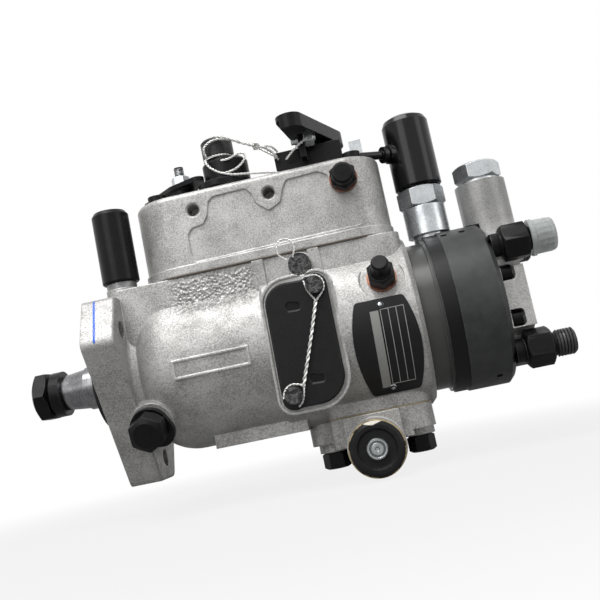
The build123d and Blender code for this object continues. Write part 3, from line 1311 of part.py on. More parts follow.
# ---------------------------------------------------------------- governor: cage, weights, sleeve, arm, link
cage_disc_end_x = cage_start_x + cage_disc_thickness
ear_inner = weight_width / 2 + slide_gap
weight_sides = [1, -1]
with BuildPart() as governor_cage:
    turned(bar(cage_start_x, cage_disc_end_x, cage_radius, shaft_end_radius + seat_gap))
    turned(bar(cage_disc_end_x, cage_start_x + 8, cage_hub_radius - 1, shaft_end_radius + seat_gap))
    for side in weight_sides:
        for y in (ear_inner + ear_thickness / 2, -ear_inner - ear_thickness / 2):
            with BuildSketch(Plane.XZ.offset(-y - ear_thickness / 2)):
                with Locations(((cage_disc_end_x + weight_pivot_x) / 2, side * weight_pivot_radius)):
                    Rectangle(weight_pivot_x - cage_disc_end_x, 7)
                with Locations((weight_pivot_x, side * weight_pivot_radius)):
                    Circle(3.5)
            extrude(amount=ear_thickness)
        turned(bar(-ear_inner - ear_thickness, ear_inner + ear_thickness, weight_pin_radius),
               lathe_plane((weight_pivot_x, 0, side * weight_pivot_radius), (0, 1, 0)))
save(governor_cage, "governor_cage")

for number, side in enumerate(weight_sides, start=1):
    with BuildPart() as governor_weight:
        with BuildSketch(Plane.XZ.offset(-weight_width / 2)) as weight_face:
            with BuildLine():
                Polyline(
                    (weight_pivot_x - 3.5, side * (weight_pivot_radius + 1)),
                    (weight_pivot_x - 1.5, side * weight_outer_radius),
                    (weight_rear_x, side * weight_outer_radius), (weight_rear_x, side * weight_inner_radius),
                    (sleeve_start_x + 2, side * weight_inner_radius),
                    (sleeve_start_x - slide_gap, side * (weight_inner_radius - 1)),
                    (sleeve_start_x - slide_gap, side * weight_toe_radius),
                    (weight_pivot_x - 3, side * weight_toe_radius), close=True)
            make_face()
        extrude(amount=weight_width)
        turned(bar(-weight_width, weight_width, weight_pin_radius + running_gap),
               lathe_plane((weight_pivot_x, 0, side * weight_pivot_radius), (0, 1, 0)), mode=Mode.SUBTRACT)
        turned(bar(cage_start_x, weight_rear_x + 1, sleeve_flange_radius + 1), mode=Mode.SUBTRACT)
        with BuildSketch(Plane.XZ.offset(-4)):
            with Locations(((weight_pivot_x - 3 + sleeve_start_x - slide_gap) / 2,
                            side * (weight_toe_radius + weight_inner_radius + 2) / 2)):
                Rectangle(sleeve_start_x - slide_gap - weight_pivot_x + 3,
                          weight_inner_radius + 2 - weight_toe_radius)
        extrude(amount=8)
    save(governor_weight, f"governor_weight_{number}")

with BuildPart() as thrust_sleeve:
    turned([
        (sleeve_start_x, shaft_governor_radius + running_gap), (sleeve_start_x, sleeve_flange_radius),
        (sleeve_start_x + sleeve_flange_thickness, sleeve_flange_radius),
        (sleeve_start_x + sleeve_flange_thickness, sleeve_tube_radius), (sleeve_end_x - 4, sleeve_tube_radius),
        (sleeve_end_x - 4, sleeve_collar_radius), (sleeve_end_x, sleeve_collar_radius),
        (sleeve_end_x, shaft_governor_radius + running_gap)])
save(thrust_sleeve, "thrust_sleeve")

pivot_span = 2 * deck_opening_half_width - 6
pad_x = sleeve_end_x + slide_gap
with BuildPart() as governor_pivot:
    turned(bar(-pivot_span / 2, pivot_span / 2, governor_pin_radius),
           lathe_plane((governor_pivot_x, 0, governor_pivot_z), (0, 1, 0)))
    for side in (1, -1):
        with BuildSketch(Plane.XZ.offset(-side * pivot_span / 2 - 1.5)):
            with Locations((governor_pivot_x, (cover_bottom_z + governor_pivot_z) / 2)):
                Rectangle(12, governor_pivot_z - cover_bottom_z + 8)
        extrude(amount=3)
        with BuildSketch(Plane.XY.offset(deck_top_z)):
            with Locations((governor_pivot_x, side * (pivot_span / 2 + 3))):
                Rectangle(16, 6)
        extrude(amount=2.5)
save(governor_pivot, "governor_pivot")

with BuildPart() as governor_arm:
    with BuildSketch(Plane.XZ.offset(-15)):
        with BuildLine():
            Polyline(
                (pad_x, -4), (pad_x + 4, -4), (governor_pivot_x + 5, governor_pivot_z - 4),
                (governor_pivot_x + 5, governor_pivot_z + 4), (governor_pivot_x + 1.5, governor_arm_top_z),
                (governor_pivot_x - 1.5, governor_arm_top_z), (governor_pivot_x - 5, governor_pivot_z + 4),
                (governor_pivot_x - 5, governor_pivot_z - 4), (pad_x, 4), close=True)
        make_face()
    extrude(amount=30)
    # fork around the shaft and its sleeve
    with BuildSketch(Plane.YZ.offset(pad_x - 2)):
        Rectangle(2 * shaft_end_radius + 4, 60)
    extrude(amount=30, mode=Mode.SUBTRACT)
    with BuildSketch(Plane.XY.offset(governor_pivot_z)):
        with Locations((governor_pivot_x, 0)):
            Rectangle(10, 2 * shaft_end_radius + 4)
    extrude(amount=-6, both=True)
    turned(bar(-20, 20, governor_pin_radius + running_gap),
           lathe_plane((governor_pivot_x, 0, governor_pivot_z), (0, 1, 0)), mode=Mode.SUBTRACT)
    turned(bar(governor_pivot_x - 6, governor_pivot_x + 6, link_rod_radius + swing_gap),
           lathe_plane((0, link_y, link_z), (1, 0, 0)), mode=Mode.SUBTRACT)
save(governor_arm, "governor_arm")

valve_pin_top_z = valve_lever_z + 5.5
with BuildPart() as link_rod:
    link_plane = lathe_plane((0, link_y, link_z), (1, 0, 0))
    turned(bar(governor_pivot_x - 8, valve_x - 3.5, link_rod_radius), link_plane)
    turned(bar(governor_pivot_x - 7, governor_pivot_x - 5.5, 3), link_plane)
    turned(bar(governor_pivot_x + 5.5, governor_pivot_x + 7, 3), link_plane)
    with BuildSketch(Plane.XY.offset(link_z - link_eye_height / 2)):
        with Locations((valve_x, link_y)):
            Circle(3.8)
            Circle(valve_pin_radius + swing_gap, mode=Mode.SUBTRACT)
    extrude(amount=link_eye_height)
save(link_rod, "link_rod")

with BuildPart() as metering_valve:
    turned(bar(valve_bottom_z, valve_shoulder_z - 1, valve_radius), upright["valve"])
    turned(bar(valve_shoulder_z - 2, valve_lever_z, 2.5), upright["valve"])
    with BuildSketch(Plane.XY.offset(valve_lever_z)):
        tapered_slot((valve_x, 0), (valve_x, link_y), 4, 2.5)
    extrude(amount=1.8)
    turned(bar(valve_lever_z, valve_pin_top_z + 1.2, valve_pin_radius),
           lathe_plane((valve_x, link_y, 0), (0, 0, 1)))
save(metering_valve, "metering_valve")

# ---------------------------------------------------------------- pumping rotor, plungers, rollers, cam ring
with BuildPart() as distributor_rotor:
    turned([
        (rotor_start_x, 0), (rotor_start_x, rotor_collar_radius), (rotor_start_x + 7, rotor_collar_radius),
        (rotor_start_x + 7, rotor_radius + 3),
        (cam_start_x, rotor_radius + 3), (cam_start_x, rotor_pump_radius),
        (cam_end_x, rotor_pump_radius), (cam_end_x, rotor_radius), (rotor_end_x, rotor_radius),
        (rotor_end_x, rotor_stub_radius), (liner_end_x - 0.6, rotor_stub_radius), (liner_end_x - 0.6, 0)])
    with BuildSketch(Plane.YZ.offset(rotor_start_x)):
        Rectangle(tongue_width + 2 * seat_gap, 40)
    extrude(amount=tongue_length - 0.5, mode=Mode.SUBTRACT)
    turned(bar(-rotor_pump_radius, rotor_pump_radius, plunger_radius + running_gap),
           lathe_plane((cam_x, 0, 0), (0, 0, 1)), mode=Mode.SUBTRACT)
    for side in (1, -1):
        with BuildSketch(Plane.XY.offset(side * (shoe_inner_radius - slide_gap))):
            with Locations((cam_x, 0)):
                Rectangle(shoe_length + 2 * slide_gap, shoe_width + 2 * slide_gap)
        extrude(amount=side * 10, mode=Mode.SUBTRACT)
    turned(bar(40, head_sleeve_start_x + 45, 1.2), mode=Mode.SUBTRACT)
save(distributor_rotor, "distributor_rotor")

for number, side in enumerate((1, -1), start=1):
    plunger_plane = lathe_plane((cam_x, 0, 0), (0, 0, side))
    with BuildPart() as plunger:
        with BuildSketch(Plane.XY.offset(side * shoe_inner_radius)):
            with Locations((cam_x, 0)):
                Rectangle(shoe_length, shoe_width)
        extrude(amount=side * (shoe_outer_radius - shoe_inner_radius))
        turned(bar(-shoe_length, shoe_length, roller_radius + slide_gap),
               lathe_plane((cam_x, 0, side * roller_orbit_radius), (1, 0, 0)), mode=Mode.SUBTRACT)
        turned(bar(plunger_inner_radius, shoe_inner_radius, plunger_radius), plunger_plane)
    save(plunger, f"plunger_{number}")
    with BuildPart() as roller:
        turned(bar(cam_x - roller_length / 2, cam_x + roller_length / 2, roller_radius),
               lathe_plane((0, 0, side * roller_orbit_radius), (1, 0, 0)))
        chamfer(roller.edges().filter_by(GeomType.CIRCLE), 0.5)
    save(roller, f"roller_{number}")

with BuildPart() as cam_ring:
    with BuildSketch(Plane.YZ.offset(cam_start_x)):
        Circle(cam_outer_radius)
        Circle(cam_base_radius, mode=Mode.SUBTRACT)
        for angle in union_angles:
            with Locations(polar(cam_lobe_tip_radius + cam_lobe_radius, angle)):
                Circle(cam_lobe_radius)
        Circle(cam_outer_radius, mode=Mode.INTERSECT)
    extrude(amount=cam_width)
    # advance stud screwed into the ring, with the ball that rides in the piston
    stud_plane = lathe_plane((cam_x, 0, 0), (0, 0, -1))
    turned(bar(cam_outer_radius - 3, -advance_axis_z, advance_stem_radius), stud_plane)
    with Locations((cam_x, 0, advance_axis_z)):
        Sphere(advance_ball_radius)
save(cam_ring, "cam_ring")

with BuildPart() as advance_piston:
    turned(bar(-advance_piston_half_length, advance_piston_half_length, advance_bore_radius - running_gap),
           advance_plane)
    turned(bar(-advance_axis_z - 20, -advance_axis_z + advance_ball_radius + 0.6,
               advance_ball_radius + swing_gap), stud_plane, mode=Mode.SUBTRACT)
save(advance_piston, "advance_piston")

with BuildPart() as transfer_rotor:
    turned(bar(liner_start_x + 0.2, liner_end_x - 0.2, blade_rotor_radius, rotor_stub_radius + seat_gap))
    for side in (1, -1):
        with BuildSketch(Plane.YZ.offset(liner_start_x + 0.2)):
            with Locations((0, side * (blade_inner_radius + blade_rotor_radius) / 2 + side * 1)):
                Rectangle(blade_thickness + 2 * running_gap, blade_rotor_radius - blade_inner_radius + 2)
        extrude(amount=liner_length - 0.4, mode=Mode.SUBTRACT)
        with BuildSketch(Plane.YZ.offset(liner_start_x + 0.2)):
            with Locations((0, side * (blade_inner_radius + blade_tip_radius) / 2)):
                Rectangle(blade_thickness, blade_tip_radius - blade_inner_radius)
        extrude(amount=liner_length - 0.4)
save(transfer_rotor, "transfer_rotor")

# ---------------------------------------------------------------- seal wires
def wire_run(points, radius=wire_radius):
    """Straight lengths of wire joined end to end, with a round end at each point."""
    for start, end in zip(points, points[1:]):
        span = Vector(*end) - Vector(*start)
        turned(bar(0, span.length, radius), lathe_plane(start, tuple(span)))
    for point in points:
        with Locations(point):
            Sphere(radius)


def wire_ring(centre, direction, ring_radius, radius=wire_radius):
    """A round loop of wire."""
    with Locations(Plane(origin=centre, z_dir=direction)):
        Torus(ring_radius, radius)


screw_wire_y = -side_face_y - 2.6
loop_wire_y = -side_screw_1_seat - side_screw_1_head - 1
with BuildPart() as seal_wire_lower:
    wire_ring((109.6, loop_wire_y, 46.6), (0, 1, 0), 4.8)
    wire_run([(112.2, loop_wire_y, 42.4), (115, loop_wire_y - 0.2, 39), (116.6, screw_wire_y, 27.8)])
    wire_ring((side_screw_2[0], screw_wire_y, side_screw_2[1]), (0, 1, 0), 5.2)
    wire_run([(119.6, screw_wire_y, 17.4), (119, screw_wire_y, 14), (105, screw_wire_y, -23.2),
              (104.2, screw_wire_y, -25)], 2 * wire_radius)
    wire_ring((side_screw_3[0], screw_wire_y, side_screw_3[1]), (0, 1, 0), 5)
save(seal_wire_lower, "seal_wire_lower")

cap_groove_z = adjuster_hub_top_z + 0.75
cap_ring_radius = adjuster_cap_radius - 0.7
with BuildPart() as seal_wire_upper:
    wire_ring((adjuster_cap_x, adjuster_cap_y, cap_groove_z), (0, 0, 1), cap_ring_radius)
    wire_run([
        (adjuster_cap_x, adjuster_cap_y - cap_ring_radius, cap_groove_z), (81.4, -24, 108.8)])
    wire_run([(81.4, -24, 108.9), (84, -24.4, 113.4), (92, -24.4, 111), (103.8, -23.4, 105.4)],
             2 * wire_radius)
    wire_ring((107.8, -23, 105), (0.2, 1, 0.2), 3.8)
    wire_run([
        (adjuster_cap_x - cap_ring_radius, adjuster_cap_y, cap_groove_z), (70, -20, 108.1),
        (72.5, -23.6, 105), (79, -27, 99), (90, -26.6, 94.6), (109.4, -20.4, 93.4)])
save(seal_wire_upper, "seal_wire_upper")
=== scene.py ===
import math

import bmesh
import bpy
from bpy.props import FloatProperty, FloatVectorProperty, IntProperty, PointerProperty
from mathutils import Matrix, Vector


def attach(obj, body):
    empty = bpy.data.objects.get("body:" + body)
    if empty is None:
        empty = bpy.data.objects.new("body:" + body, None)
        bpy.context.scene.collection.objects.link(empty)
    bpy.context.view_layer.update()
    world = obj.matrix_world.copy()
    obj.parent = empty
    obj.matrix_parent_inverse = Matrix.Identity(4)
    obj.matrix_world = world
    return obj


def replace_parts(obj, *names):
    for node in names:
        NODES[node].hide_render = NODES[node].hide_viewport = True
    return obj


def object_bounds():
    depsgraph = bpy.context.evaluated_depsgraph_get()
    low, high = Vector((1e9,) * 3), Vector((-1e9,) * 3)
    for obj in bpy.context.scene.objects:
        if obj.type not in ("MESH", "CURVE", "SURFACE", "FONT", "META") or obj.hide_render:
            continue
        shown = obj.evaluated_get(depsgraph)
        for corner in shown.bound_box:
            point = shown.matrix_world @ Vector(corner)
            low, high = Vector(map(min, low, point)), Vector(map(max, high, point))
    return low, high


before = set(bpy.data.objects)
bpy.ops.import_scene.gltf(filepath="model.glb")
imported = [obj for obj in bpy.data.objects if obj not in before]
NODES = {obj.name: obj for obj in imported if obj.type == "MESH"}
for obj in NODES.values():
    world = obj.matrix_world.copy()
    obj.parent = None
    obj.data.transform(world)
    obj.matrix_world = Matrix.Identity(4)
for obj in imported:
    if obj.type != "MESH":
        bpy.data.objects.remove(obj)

bl_info = {
    "name": "Diesel injection pump",
    "version": (1, 0, 0),
    "blender": (4, 5, 0),
    "location": "View3D > Sidebar > Injection pump",
    "description": "Dresses the packed injection pump with castings, threads, wires and finishes",
    "category": "Add Mesh",
}

MM = 0.001
LOW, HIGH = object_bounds()
FINISHES = {}
WHITE = (1, 1, 1, 1)

# degrees round the shaft, turn of each hexagon about its own axis, and radius in millimetres
UNION_ANGLES = (47.3, 137.3, 227.3, 317.3)
UNION_TURNS = (0, 30, -8, 15)
UNION_CIRCLE = 39
# a point on the advance unit's axis, which lies across the pump, in millimetres
ADVANCE_AXIS = (133.5, 0, -61)
# x from and to, z from and to, in metres
HAMMERED_PATCH = (0.046, 0.088, 0.024, 0.043)
# coarse and fine noise in a finish's mottling, and the span of their sum that goes from dark to light
PATCH_SHARE, FINE_SHARE = 0.38, 0.62
MOTTLE_SPAN = (0.39, 0.59)
# degrees between faces from which an edge is drawn sharp
SHARP_ANGLE = 35
# rise of a hexagon's turned-off corners for each millimetre inwards
CHAMFER_SLOPE = 0.58
# millimetres between points along a wire
WIRE_STEP = 0.28


# ---------------------------------------------------------------- sizes and colours
class PumpCastingSettings(bpy.types.PropertyGroup):
    alloy: FloatVectorProperty(
        name="Alloy", description="Colour of the cast aluminium", subtype="COLOR", size=3,
        default=(0.51, 0.505, 0.495), min=0, max=1)
    stain: FloatVectorProperty(
        name="Stain", description="Darker patches in the casting skin", subtype="COLOR", size=3,
        default=(0.25, 0.245, 0.235), min=0, max=1)
    grain: FloatProperty(name="Grain", description="Fineness of the casting skin", default=1300, min=50)


class PumpThreadSettings(bpy.types.PropertyGroup):
    union_pitch: FloatProperty(
        name="Union pitch", description="Pitch of the delivery union threads", default=1.5 * MM, unit="LENGTH")
    steps: IntProperty(name="Steps", description="Steps in each turn of a thread", default=40, min=12)


class PumpWireSettings(bpy.types.PropertyGroup):
    strand: FloatProperty(
        name="Strand radius", description="Radius of one strand of seal wire", default=0.28 * MM, unit="LENGTH")
    turn: FloatProperty(
        name="Lay length", description="Length of one twist of the seal wire", default=3.6 * MM, unit="LENGTH")


class PumpStageSettings(bpy.types.PropertyGroup):
    floor: FloatVectorProperty(
        name="Floor", description="Colour of the floor", subtype="COLOR", size=3, default=(0.30, 0.30, 0.30),
        min=0, max=1)
    key: FloatProperty(name="Key light", description="Power of the overhead softbox", default=11.0, min=0)
    fill: FloatProperty(name="Fill light", description="Power of the front softbox", default=2.4, min=0)


# ---------------------------------------------------------------- node trees
class Tree:
    """A short way to build one node tree."""

    def __init__(self, tree):
        self.tree = tree

    def node(self, kind, values=None, **settings):
        """A new node with its settings, and with a link or a constant in each named socket."""
        made = self.tree.nodes.new(kind)
        for key, value in settings.items():
            setattr(made, key, value)
        for key, value in (values or {}).items():
            self.feed(value, made.inputs[key])
        return made

    def feed(self, value, socket):
        """Links the socket to another one, or sets its constant."""
        if isinstance(value, bpy.types.NodeSocket):
            self.tree.links.new(value, socket)
        else:
            socket.default_value = value

    def maths(self, operation, a, b=0.0):
        return self.node("ShaderNodeMath", {0: a, 1: b}, operation=operation).outputs[0]

    def times(self, a, b):
        return self.maths("MULTIPLY", a, b)

    def mixed(self, factor, a, b):
        """Shader a where factor is 0 and b where it is 1."""
        return self.node("ShaderNodeMixShader", {0: factor, 1: a, 2: b}).outputs[0]


class Finish(Tree):
    """The shader tree of a new material, on object coordinates."""

    def __init__(self, name):
        self.material = bpy.data.materials.new(name)
        self.material.use_nodes = True
        super().__init__(self.material.node_tree)
        self.shader = self.tree.nodes["Principled BSDF"]
        self.place = self.node("ShaderNodeTexCoord").outputs["Object"]

    def surface(self, **values):
        """Feeds the shader's sockets, whose names have spaces for the underscores here."""
        for key, value in values.items():
            self.feed(value, self.shader.inputs[key.replace("_", " ")])

    def noise(self, scale, detail=4, rough=0.55, stretch=None):
        """Grey noise on object coordinates, 0 to 1."""
        place = self.place
        if stretch:
            place = self.node("ShaderNodeMapping", {"Scale": stretch, "Vector": place}).outputs["Vector"]
        return self.node("ShaderNodeTexNoise", {
            "Scale": scale, "Detail": detail, "Roughness": rough, "Vector": place}).outputs["Fac"]

    def span(self, value, low, high, out_low=0.0, out_high=1.0, smooth=False):
        """value taken from low..high to out_low..out_high, clamped."""
        return self.node("ShaderNodeMapRange", {
            "From Min": low, "From Max": high, "To Min": out_low, "To Max": out_high, "Value": value},
            interpolation_type="SMOOTHSTEP" if smooth else "LINEAR").outputs["Result"]

    def blend(self, factor, a, b):
        """Colour a where factor is 0 and b where it is 1."""
        a, b = ((*colour, 1) if isinstance(colour, tuple) else colour for colour in (a, b))
        return self.node("ShaderNodeMix", {0: factor, 6: a, 7: b}, data_type="RGBA").outputs[2]

    def axes(self):
        """The object coordinates as three values."""
        return self.node("ShaderNodeSeparateXYZ", {0: self.place}).outputs

    def window(self, value, low, high, soft):
        """1 between low and high, with soft edges."""
        rise = self.span(value, low - soft, low + soft)
        fall = self.span(value, high - soft, high + soft, 1, 0)
        return self.times(rise, fall)

    def rounded(self, radius):
        """The surface normal with its edges rounded, and a mask that is 1 along those edges."""
        soft = self.node("ShaderNodeBevel", {"Radius": radius}, samples=6).outputs[0]
        flat = self.node("ShaderNodeNewGeometry").outputs["Normal"]
        dot = self.node("ShaderNodeVectorMath", {0: soft, 1: flat}, operation="DOT_PRODUCT").outputs["Value"]
        return soft, self.span(dot, 0.985, 0.8)

    def relief(self, height, distance, normal):
        """The normal with a bump of this height, in metres, added to it."""
        return self.node("ShaderNodeBump", {
            "Distance": distance, "Strength": 1.0, "Height": height, "Normal": normal}).outputs[0]


def finish(name, light, dark, rough, patch, metal=0.0, grain=2600, relief=0.02, edge=0.3, wear_and_highlight=None,
           wear_and_highlight_amount=0.6, specular=0.5, stretch=None, extra=None):
    """A worn surface: two mottled colours, uneven gloss, fine relief, rounded edges, and lighter edges that are
    partly edge wear and partly a painted edge highlight.

    patch and grain are the scales of coarse and fine noise. relief and edge are in millimetres.
    """
    made = Finish(name)
    patches = made.noise(patch, 5, 0.6)
    fine = made.noise(grain, 3, 0.6, stretch=stretch)
    mottle = made.maths("ADD", made.times(patches, PATCH_SHARE), made.times(fine, FINE_SHARE))
    colour = made.blend(made.span(mottle, *MOTTLE_SPAN), dark, light)
    normal, rim = made.rounded(edge * MM)
    # Lighter colour along the rounded edges: partly edge wear, partly a painted edge highlight.
    if wear_and_highlight:
        worn = made.times(rim, made.span(patches, 0.35, 0.62, 0.15, wear_and_highlight_amount))
        colour = made.blend(worn, colour, wear_and_highlight)
    gloss = made.span(made.noise(patch * 2.3, 4), 0.3, 0.7, *rough)
    normal = made.relief(fine, relief * MM, normal)
    if extra:
        colour, gloss, normal = extra(made, colour, gloss, normal)
    made.surface(Metallic=metal, Specular_IOR_Level=specular, Base_Color=colour, Roughness=gloss, Normal=normal)
    return made.material


def dress(look, *names):
    """Gives CAD nodes a finish."""
    for name in names:
        mesh = NODES[name].data
        mesh.materials.clear()
        mesh.materials.append(FINISHES[look])


# ---------------------------------------------------------------- mesh making
class Maker:
    """Collects closed shapes, in millimetres, into one mesh."""

    def __init__(self):
        self.mesh = bmesh.new()

    def skin(self, rings, closed):
        """Faces between rings of points; a ring of one point is a pole."""
        made = [[self.mesh.verts.new(Vector(p) * MM) for p in ring] for ring in rings]
        pairs = list(zip(made, made[1:]))
        if closed:
            pairs.append((made[-1], made[0]))
        for a, b in pairs:
            count = max(len(a), len(b))
            for i in range(count):
                j = (i + 1) % count
                if len(a) == 1 and len(b) == 1:
                    break
                if len(a) == 1:
                    corners = [a[0], b[i], b[j]]
                elif len(b) == 1:
                    corners = [a[i], b[0], a[j]]
                else:
                    corners = [a[i], b[i], b[j], a[j]]
                self.mesh.faces.new(corners)

    def turned(self, profile, origin, direction, steps=48, shape=None):
        """A body turned from (along, radius) points, closed back to the first one."""
        axis = Vector(direction).normalized()
        side = axis.orthogonal().normalized()
        if abs(axis.z) < 0.9:
            side = axis.cross(Vector((0, 0, 1))).normalized()
        other = axis.cross(side)
        start = Vector(origin)
        rings = []
        for distance, radius in profile:
            centre = start + axis * distance
            if radius <= 0:
                rings.append([centre])
                continue
            ring = []
            for i in range(steps):
                angle = 2 * math.pi * i / steps
                reach = shape(angle, distance, radius) if shape else radius
                ring.append(centre + side * (math.cos(angle) * reach) + other * (math.sin(angle) * reach))
            rings.append(ring)
        self.skin(rings, closed=profile[-1][1] > 0 or profile[0][1] > 0)

    def hexagon(self, flats, height, origin, direction, bevel, bore):
        """A nut or bolt head with its corners turned off."""
        corner = flats / math.sqrt(3)
        crown = flats / 2 - bevel
        slope = (corner - crown) * CHAMFER_SLOPE
        levels = [slope * k / 3 for k in range(4)] + [height - slope * k / 3 for k in range(3, -1, -1)]

        def reach(angle, distance, radius):
            if radius < crown:
                return radius
            flat = (flats / 2) / math.cos((angle + math.pi / 6) % (math.pi / 3) - math.pi / 6)
            rise = min(distance, height - distance)
            cone = crown + (corner - crown) * min(1, rise / slope)
            return min(flat, cone)

        profile = [(0, bore)] + [(level, flats) for level in levels] + [(height, bore)]
        self.turned(profile, origin, direction, 72, reach)

    def close(self, name):
        """The collected shapes as one clean mesh."""
        bmesh.ops.remove_doubles(self.mesh, verts=self.mesh.verts, dist=1e-7)
        bmesh.ops.recalc_face_normals(self.mesh, faces=self.mesh.faces)
        mesh = bpy.data.meshes.new(name)
        self.mesh.to_mesh(mesh)
        self.mesh.free()
        return mesh

    def finish(self, name, body, slot, look):
        """The piece as an object on its body, with its finish."""
        mesh = self.close(name)
        mesh.materials.append(FINISHES[look])
        return place_piece(name, mesh, body)


def place_piece(name, mesh, body):
    """Links a finished mesh and lets it ride on its body."""
    mesh.shade_smooth()
    mesh.set_sharp_from_angle(angle=math.radians(SHARP_ANGLE))
    piece = bpy.data.objects.new(name, mesh)
    bpy.context.scene.collection.objects.link(piece)
    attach(piece, body)
    return piece


# ---------------------------------------------------------------- geometry nodes
class Growth(Tree):
    """A short way to build one geometry tree."""

    def __init__(self, name, **sizes):
        super().__init__(bpy.data.node_groups.new(name, "GeometryNodeTree"))
        face = self.tree.interface
        face.new_socket("Geometry", in_out="INPUT", socket_type="NodeSocketGeometry")
        self.sockets = {}
        for key, value in sizes.items():
            kind = "NodeSocketInt" if isinstance(value, int) else "NodeSocketFloat"
            made = face.new_socket(key, in_out="INPUT", socket_type=kind)
            made.default_value = value
            self.sockets[key] = made.identifier
        face.new_socket("Geometry", in_out="OUTPUT", socket_type="NodeSocketGeometry")
        self.start = self.tree.nodes.new("NodeGroupInput")
        self.end = self.tree.nodes.new("NodeGroupOutput")

    def feed(self, value, socket):
        """As in any tree, and a word stands for the tree's own input of that name."""
        super().feed(self.start.outputs[value] if isinstance(value, str) else value, socket)

    def text(self, words):
        return self.node("FunctionNodeInputString", string=words).outputs[0]

    def close(self, geometry, look):
        """Ends the tree in Realize Instances and Set Material."""
        real = self.node("GeometryNodeRealizeInstances", {"Geometry": geometry})
        skin = self.node("GeometryNodeSetMaterial", {"Geometry": real.outputs[0], "Material": FINISHES[look]})
        self.tree.links.new(skin.outputs[0], self.end.inputs[0])


def grown(tree, base, name, body, slot, **values):
    """Runs a tree on base data and keeps the result as a plain piece."""
    holder = bpy.data.objects.new(name + "_seed", base)
    bpy.context.scene.collection.objects.link(holder)
    growth = holder.modifiers.new("Growth", "NODES")
    growth.node_group = tree.tree
    for key, value in values.items():
        growth[tree.sockets[key]] = value
    evaluated = holder.evaluated_get(bpy.context.evaluated_depsgraph_get())
    mesh = bpy.data.meshes.new_from_object(evaluated)
    bpy.data.objects.remove(holder)
    mesh.name = name
    return place_piece(name, mesh, body)


def point_mesh(name, points):
    """Loose points, in millimetres."""
    mesh = bpy.data.meshes.new(name)
    mesh.from_pydata([Vector(p) * MM for p in points], [], [])
    return mesh


def thread_tree(look):
    """A ridge that climbs round a cylinder, repeated at each point of the base, leaning from +Z to +X."""
    tree = Growth("Thread", Radius=6.4 * MM, Pitch=1.5 * MM, Turns=5.0, Ridge=0.6 * MM, Steps=40,
                  Lean=math.pi / 2)
    spiral = tree.node("GeometryNodeCurveSpiral", {
        "Resolution": "Steps", "Rotations": "Turns", "Start Radius": "Radius", "End Radius": "Radius",
        "Height": tree.times("Pitch", "Turns")})
    profile = tree.node("GeometryNodeCurvePrimitiveCircle", {"Resolution": 4, "Radius": "Ridge"})
    ridge = tree.node("GeometryNodeCurveToMesh", {
        "Curve": spiral.outputs[0], "Profile Curve": profile.outputs[0], "Fill Caps": True})
    lean = tree.node("ShaderNodeCombineXYZ", {"Y": "Lean"})
    turned = tree.node("GeometryNodeTransform", {"Geometry": ridge.outputs[0], "Rotation": lean.outputs[0]})
    spread = tree.node("GeometryNodeInstanceOnPoints", {"Points": "Geometry", "Instance": turned.outputs[0]})
    tree.close(spread.outputs[0], look)
    return tree


def wire_tree():
    """Two strands laid round each other along the base curve."""
    tree = Growth("Twisted wire", Strand=0.24 * MM, Lay=2.6 * MM)
    path = tree.node("GeometryNodeResampleCurve", {"Curve": "Geometry", "Length": WIRE_STEP * MM}, mode="LENGTH")
    length = tree.node("GeometryNodeSplineParameter").outputs["Length"]
    turn = tree.times(tree.maths("DIVIDE", length, "Lay"), 2 * math.pi)
    normal = tree.node("GeometryNodeInputNormal").outputs[0]
    tangent = tree.node("GeometryNodeInputTangent").outputs[0]
    across = tree.node("ShaderNodeVectorMath", {0: tangent, 1: normal}, operation="CROSS_PRODUCT").outputs[0]
    profile = tree.node("GeometryNodeCurvePrimitiveCircle", {"Resolution": 7, "Radius": "Strand"}).outputs[0]
    both = tree.node("GeometryNodeJoinGeometry")
    for phase in (0, math.pi):
        angle = tree.maths("ADD", turn, phase)
        reach = []
        for operation, direction in (("COSINE", normal), ("SINE", across)):
            size = tree.times(tree.maths(operation, angle), "Strand")
            scaled = tree.node("ShaderNodeVectorMath", {0: direction, "Scale": size}, operation="SCALE")
            reach.append(scaled.outputs[0])
        offset = tree.node("ShaderNodeVectorMath", {0: reach[0], 1: reach[1]}, operation="ADD").outputs[0]
        moved = tree.node("GeometryNodeSetPosition", {"Geometry": path.outputs[0], "Offset": offset})
        strand = tree.node("GeometryNodeCurveToMesh", {
            "Curve": moved.outputs[0], "Profile Curve": profile, "Fill Caps": True})
        tree.tree.links.new(strand.outputs[0], both.inputs[0])
    tree.close(both.outputs[0], "wire")
    return tree


def repeat_tree(look, shape):
    """One object's shape set at every point of the base, turned about X by the point's turn."""
    tree = Growth("Repeat " + shape.name)
    info = tree.node("GeometryNodeObjectInfo", {"Object": shape})
    turn = tree.node("GeometryNodeInputNamedAttribute", {"Name": tree.text("turn")}, data_type="FLOAT")
    lean = tree.node("ShaderNodeCombineXYZ", {"X": turn.outputs[0]})
    spread = tree.node("GeometryNodeInstanceOnPoints", {
        "Points": "Geometry", "Instance": info.outputs["Geometry"], "Rotation": lean.outputs[0]})
    tree.close(spread.outputs[0], look)
    return tree


def wire_curve(name, runs):
    """Smooth open runs of wire, in millimetres, as one curve."""
    curve = bpy.data.curves.new(name, "CURVE")
    curve.dimensions = "3D"
    curve.resolution_u = 10
    for points in runs:
        spline = curve.splines.new("NURBS")
        spline.points.add(len(points) - 1)
        for point, place in zip(spline.points, points):
            point.co = (*(Vector(place) * MM), 1)
        spline.order_u = 3
        spline.use_endpoint_u = True
    return curve


def seal_wire(name, wires, loops, runs, loop_strand, run_strand, run_lay):
    """Single wire in the loops and doubled wire in the runs, in place of the CAD's wire."""
    tree = wire_tree()
    first = grown(tree, wire_curve(name + "_loop_paths", loops), name + "_loops", "housing", "seal_wire",
                  Strand=wires.strand * loop_strand, Lay=wires.turn)
    grown(tree, wire_curve(name + "_run_paths", runs), name + "_run", "housing", "seal_wire",
          Strand=wires.strand * run_strand, Lay=wires.turn * run_lay)
    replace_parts(first, name)


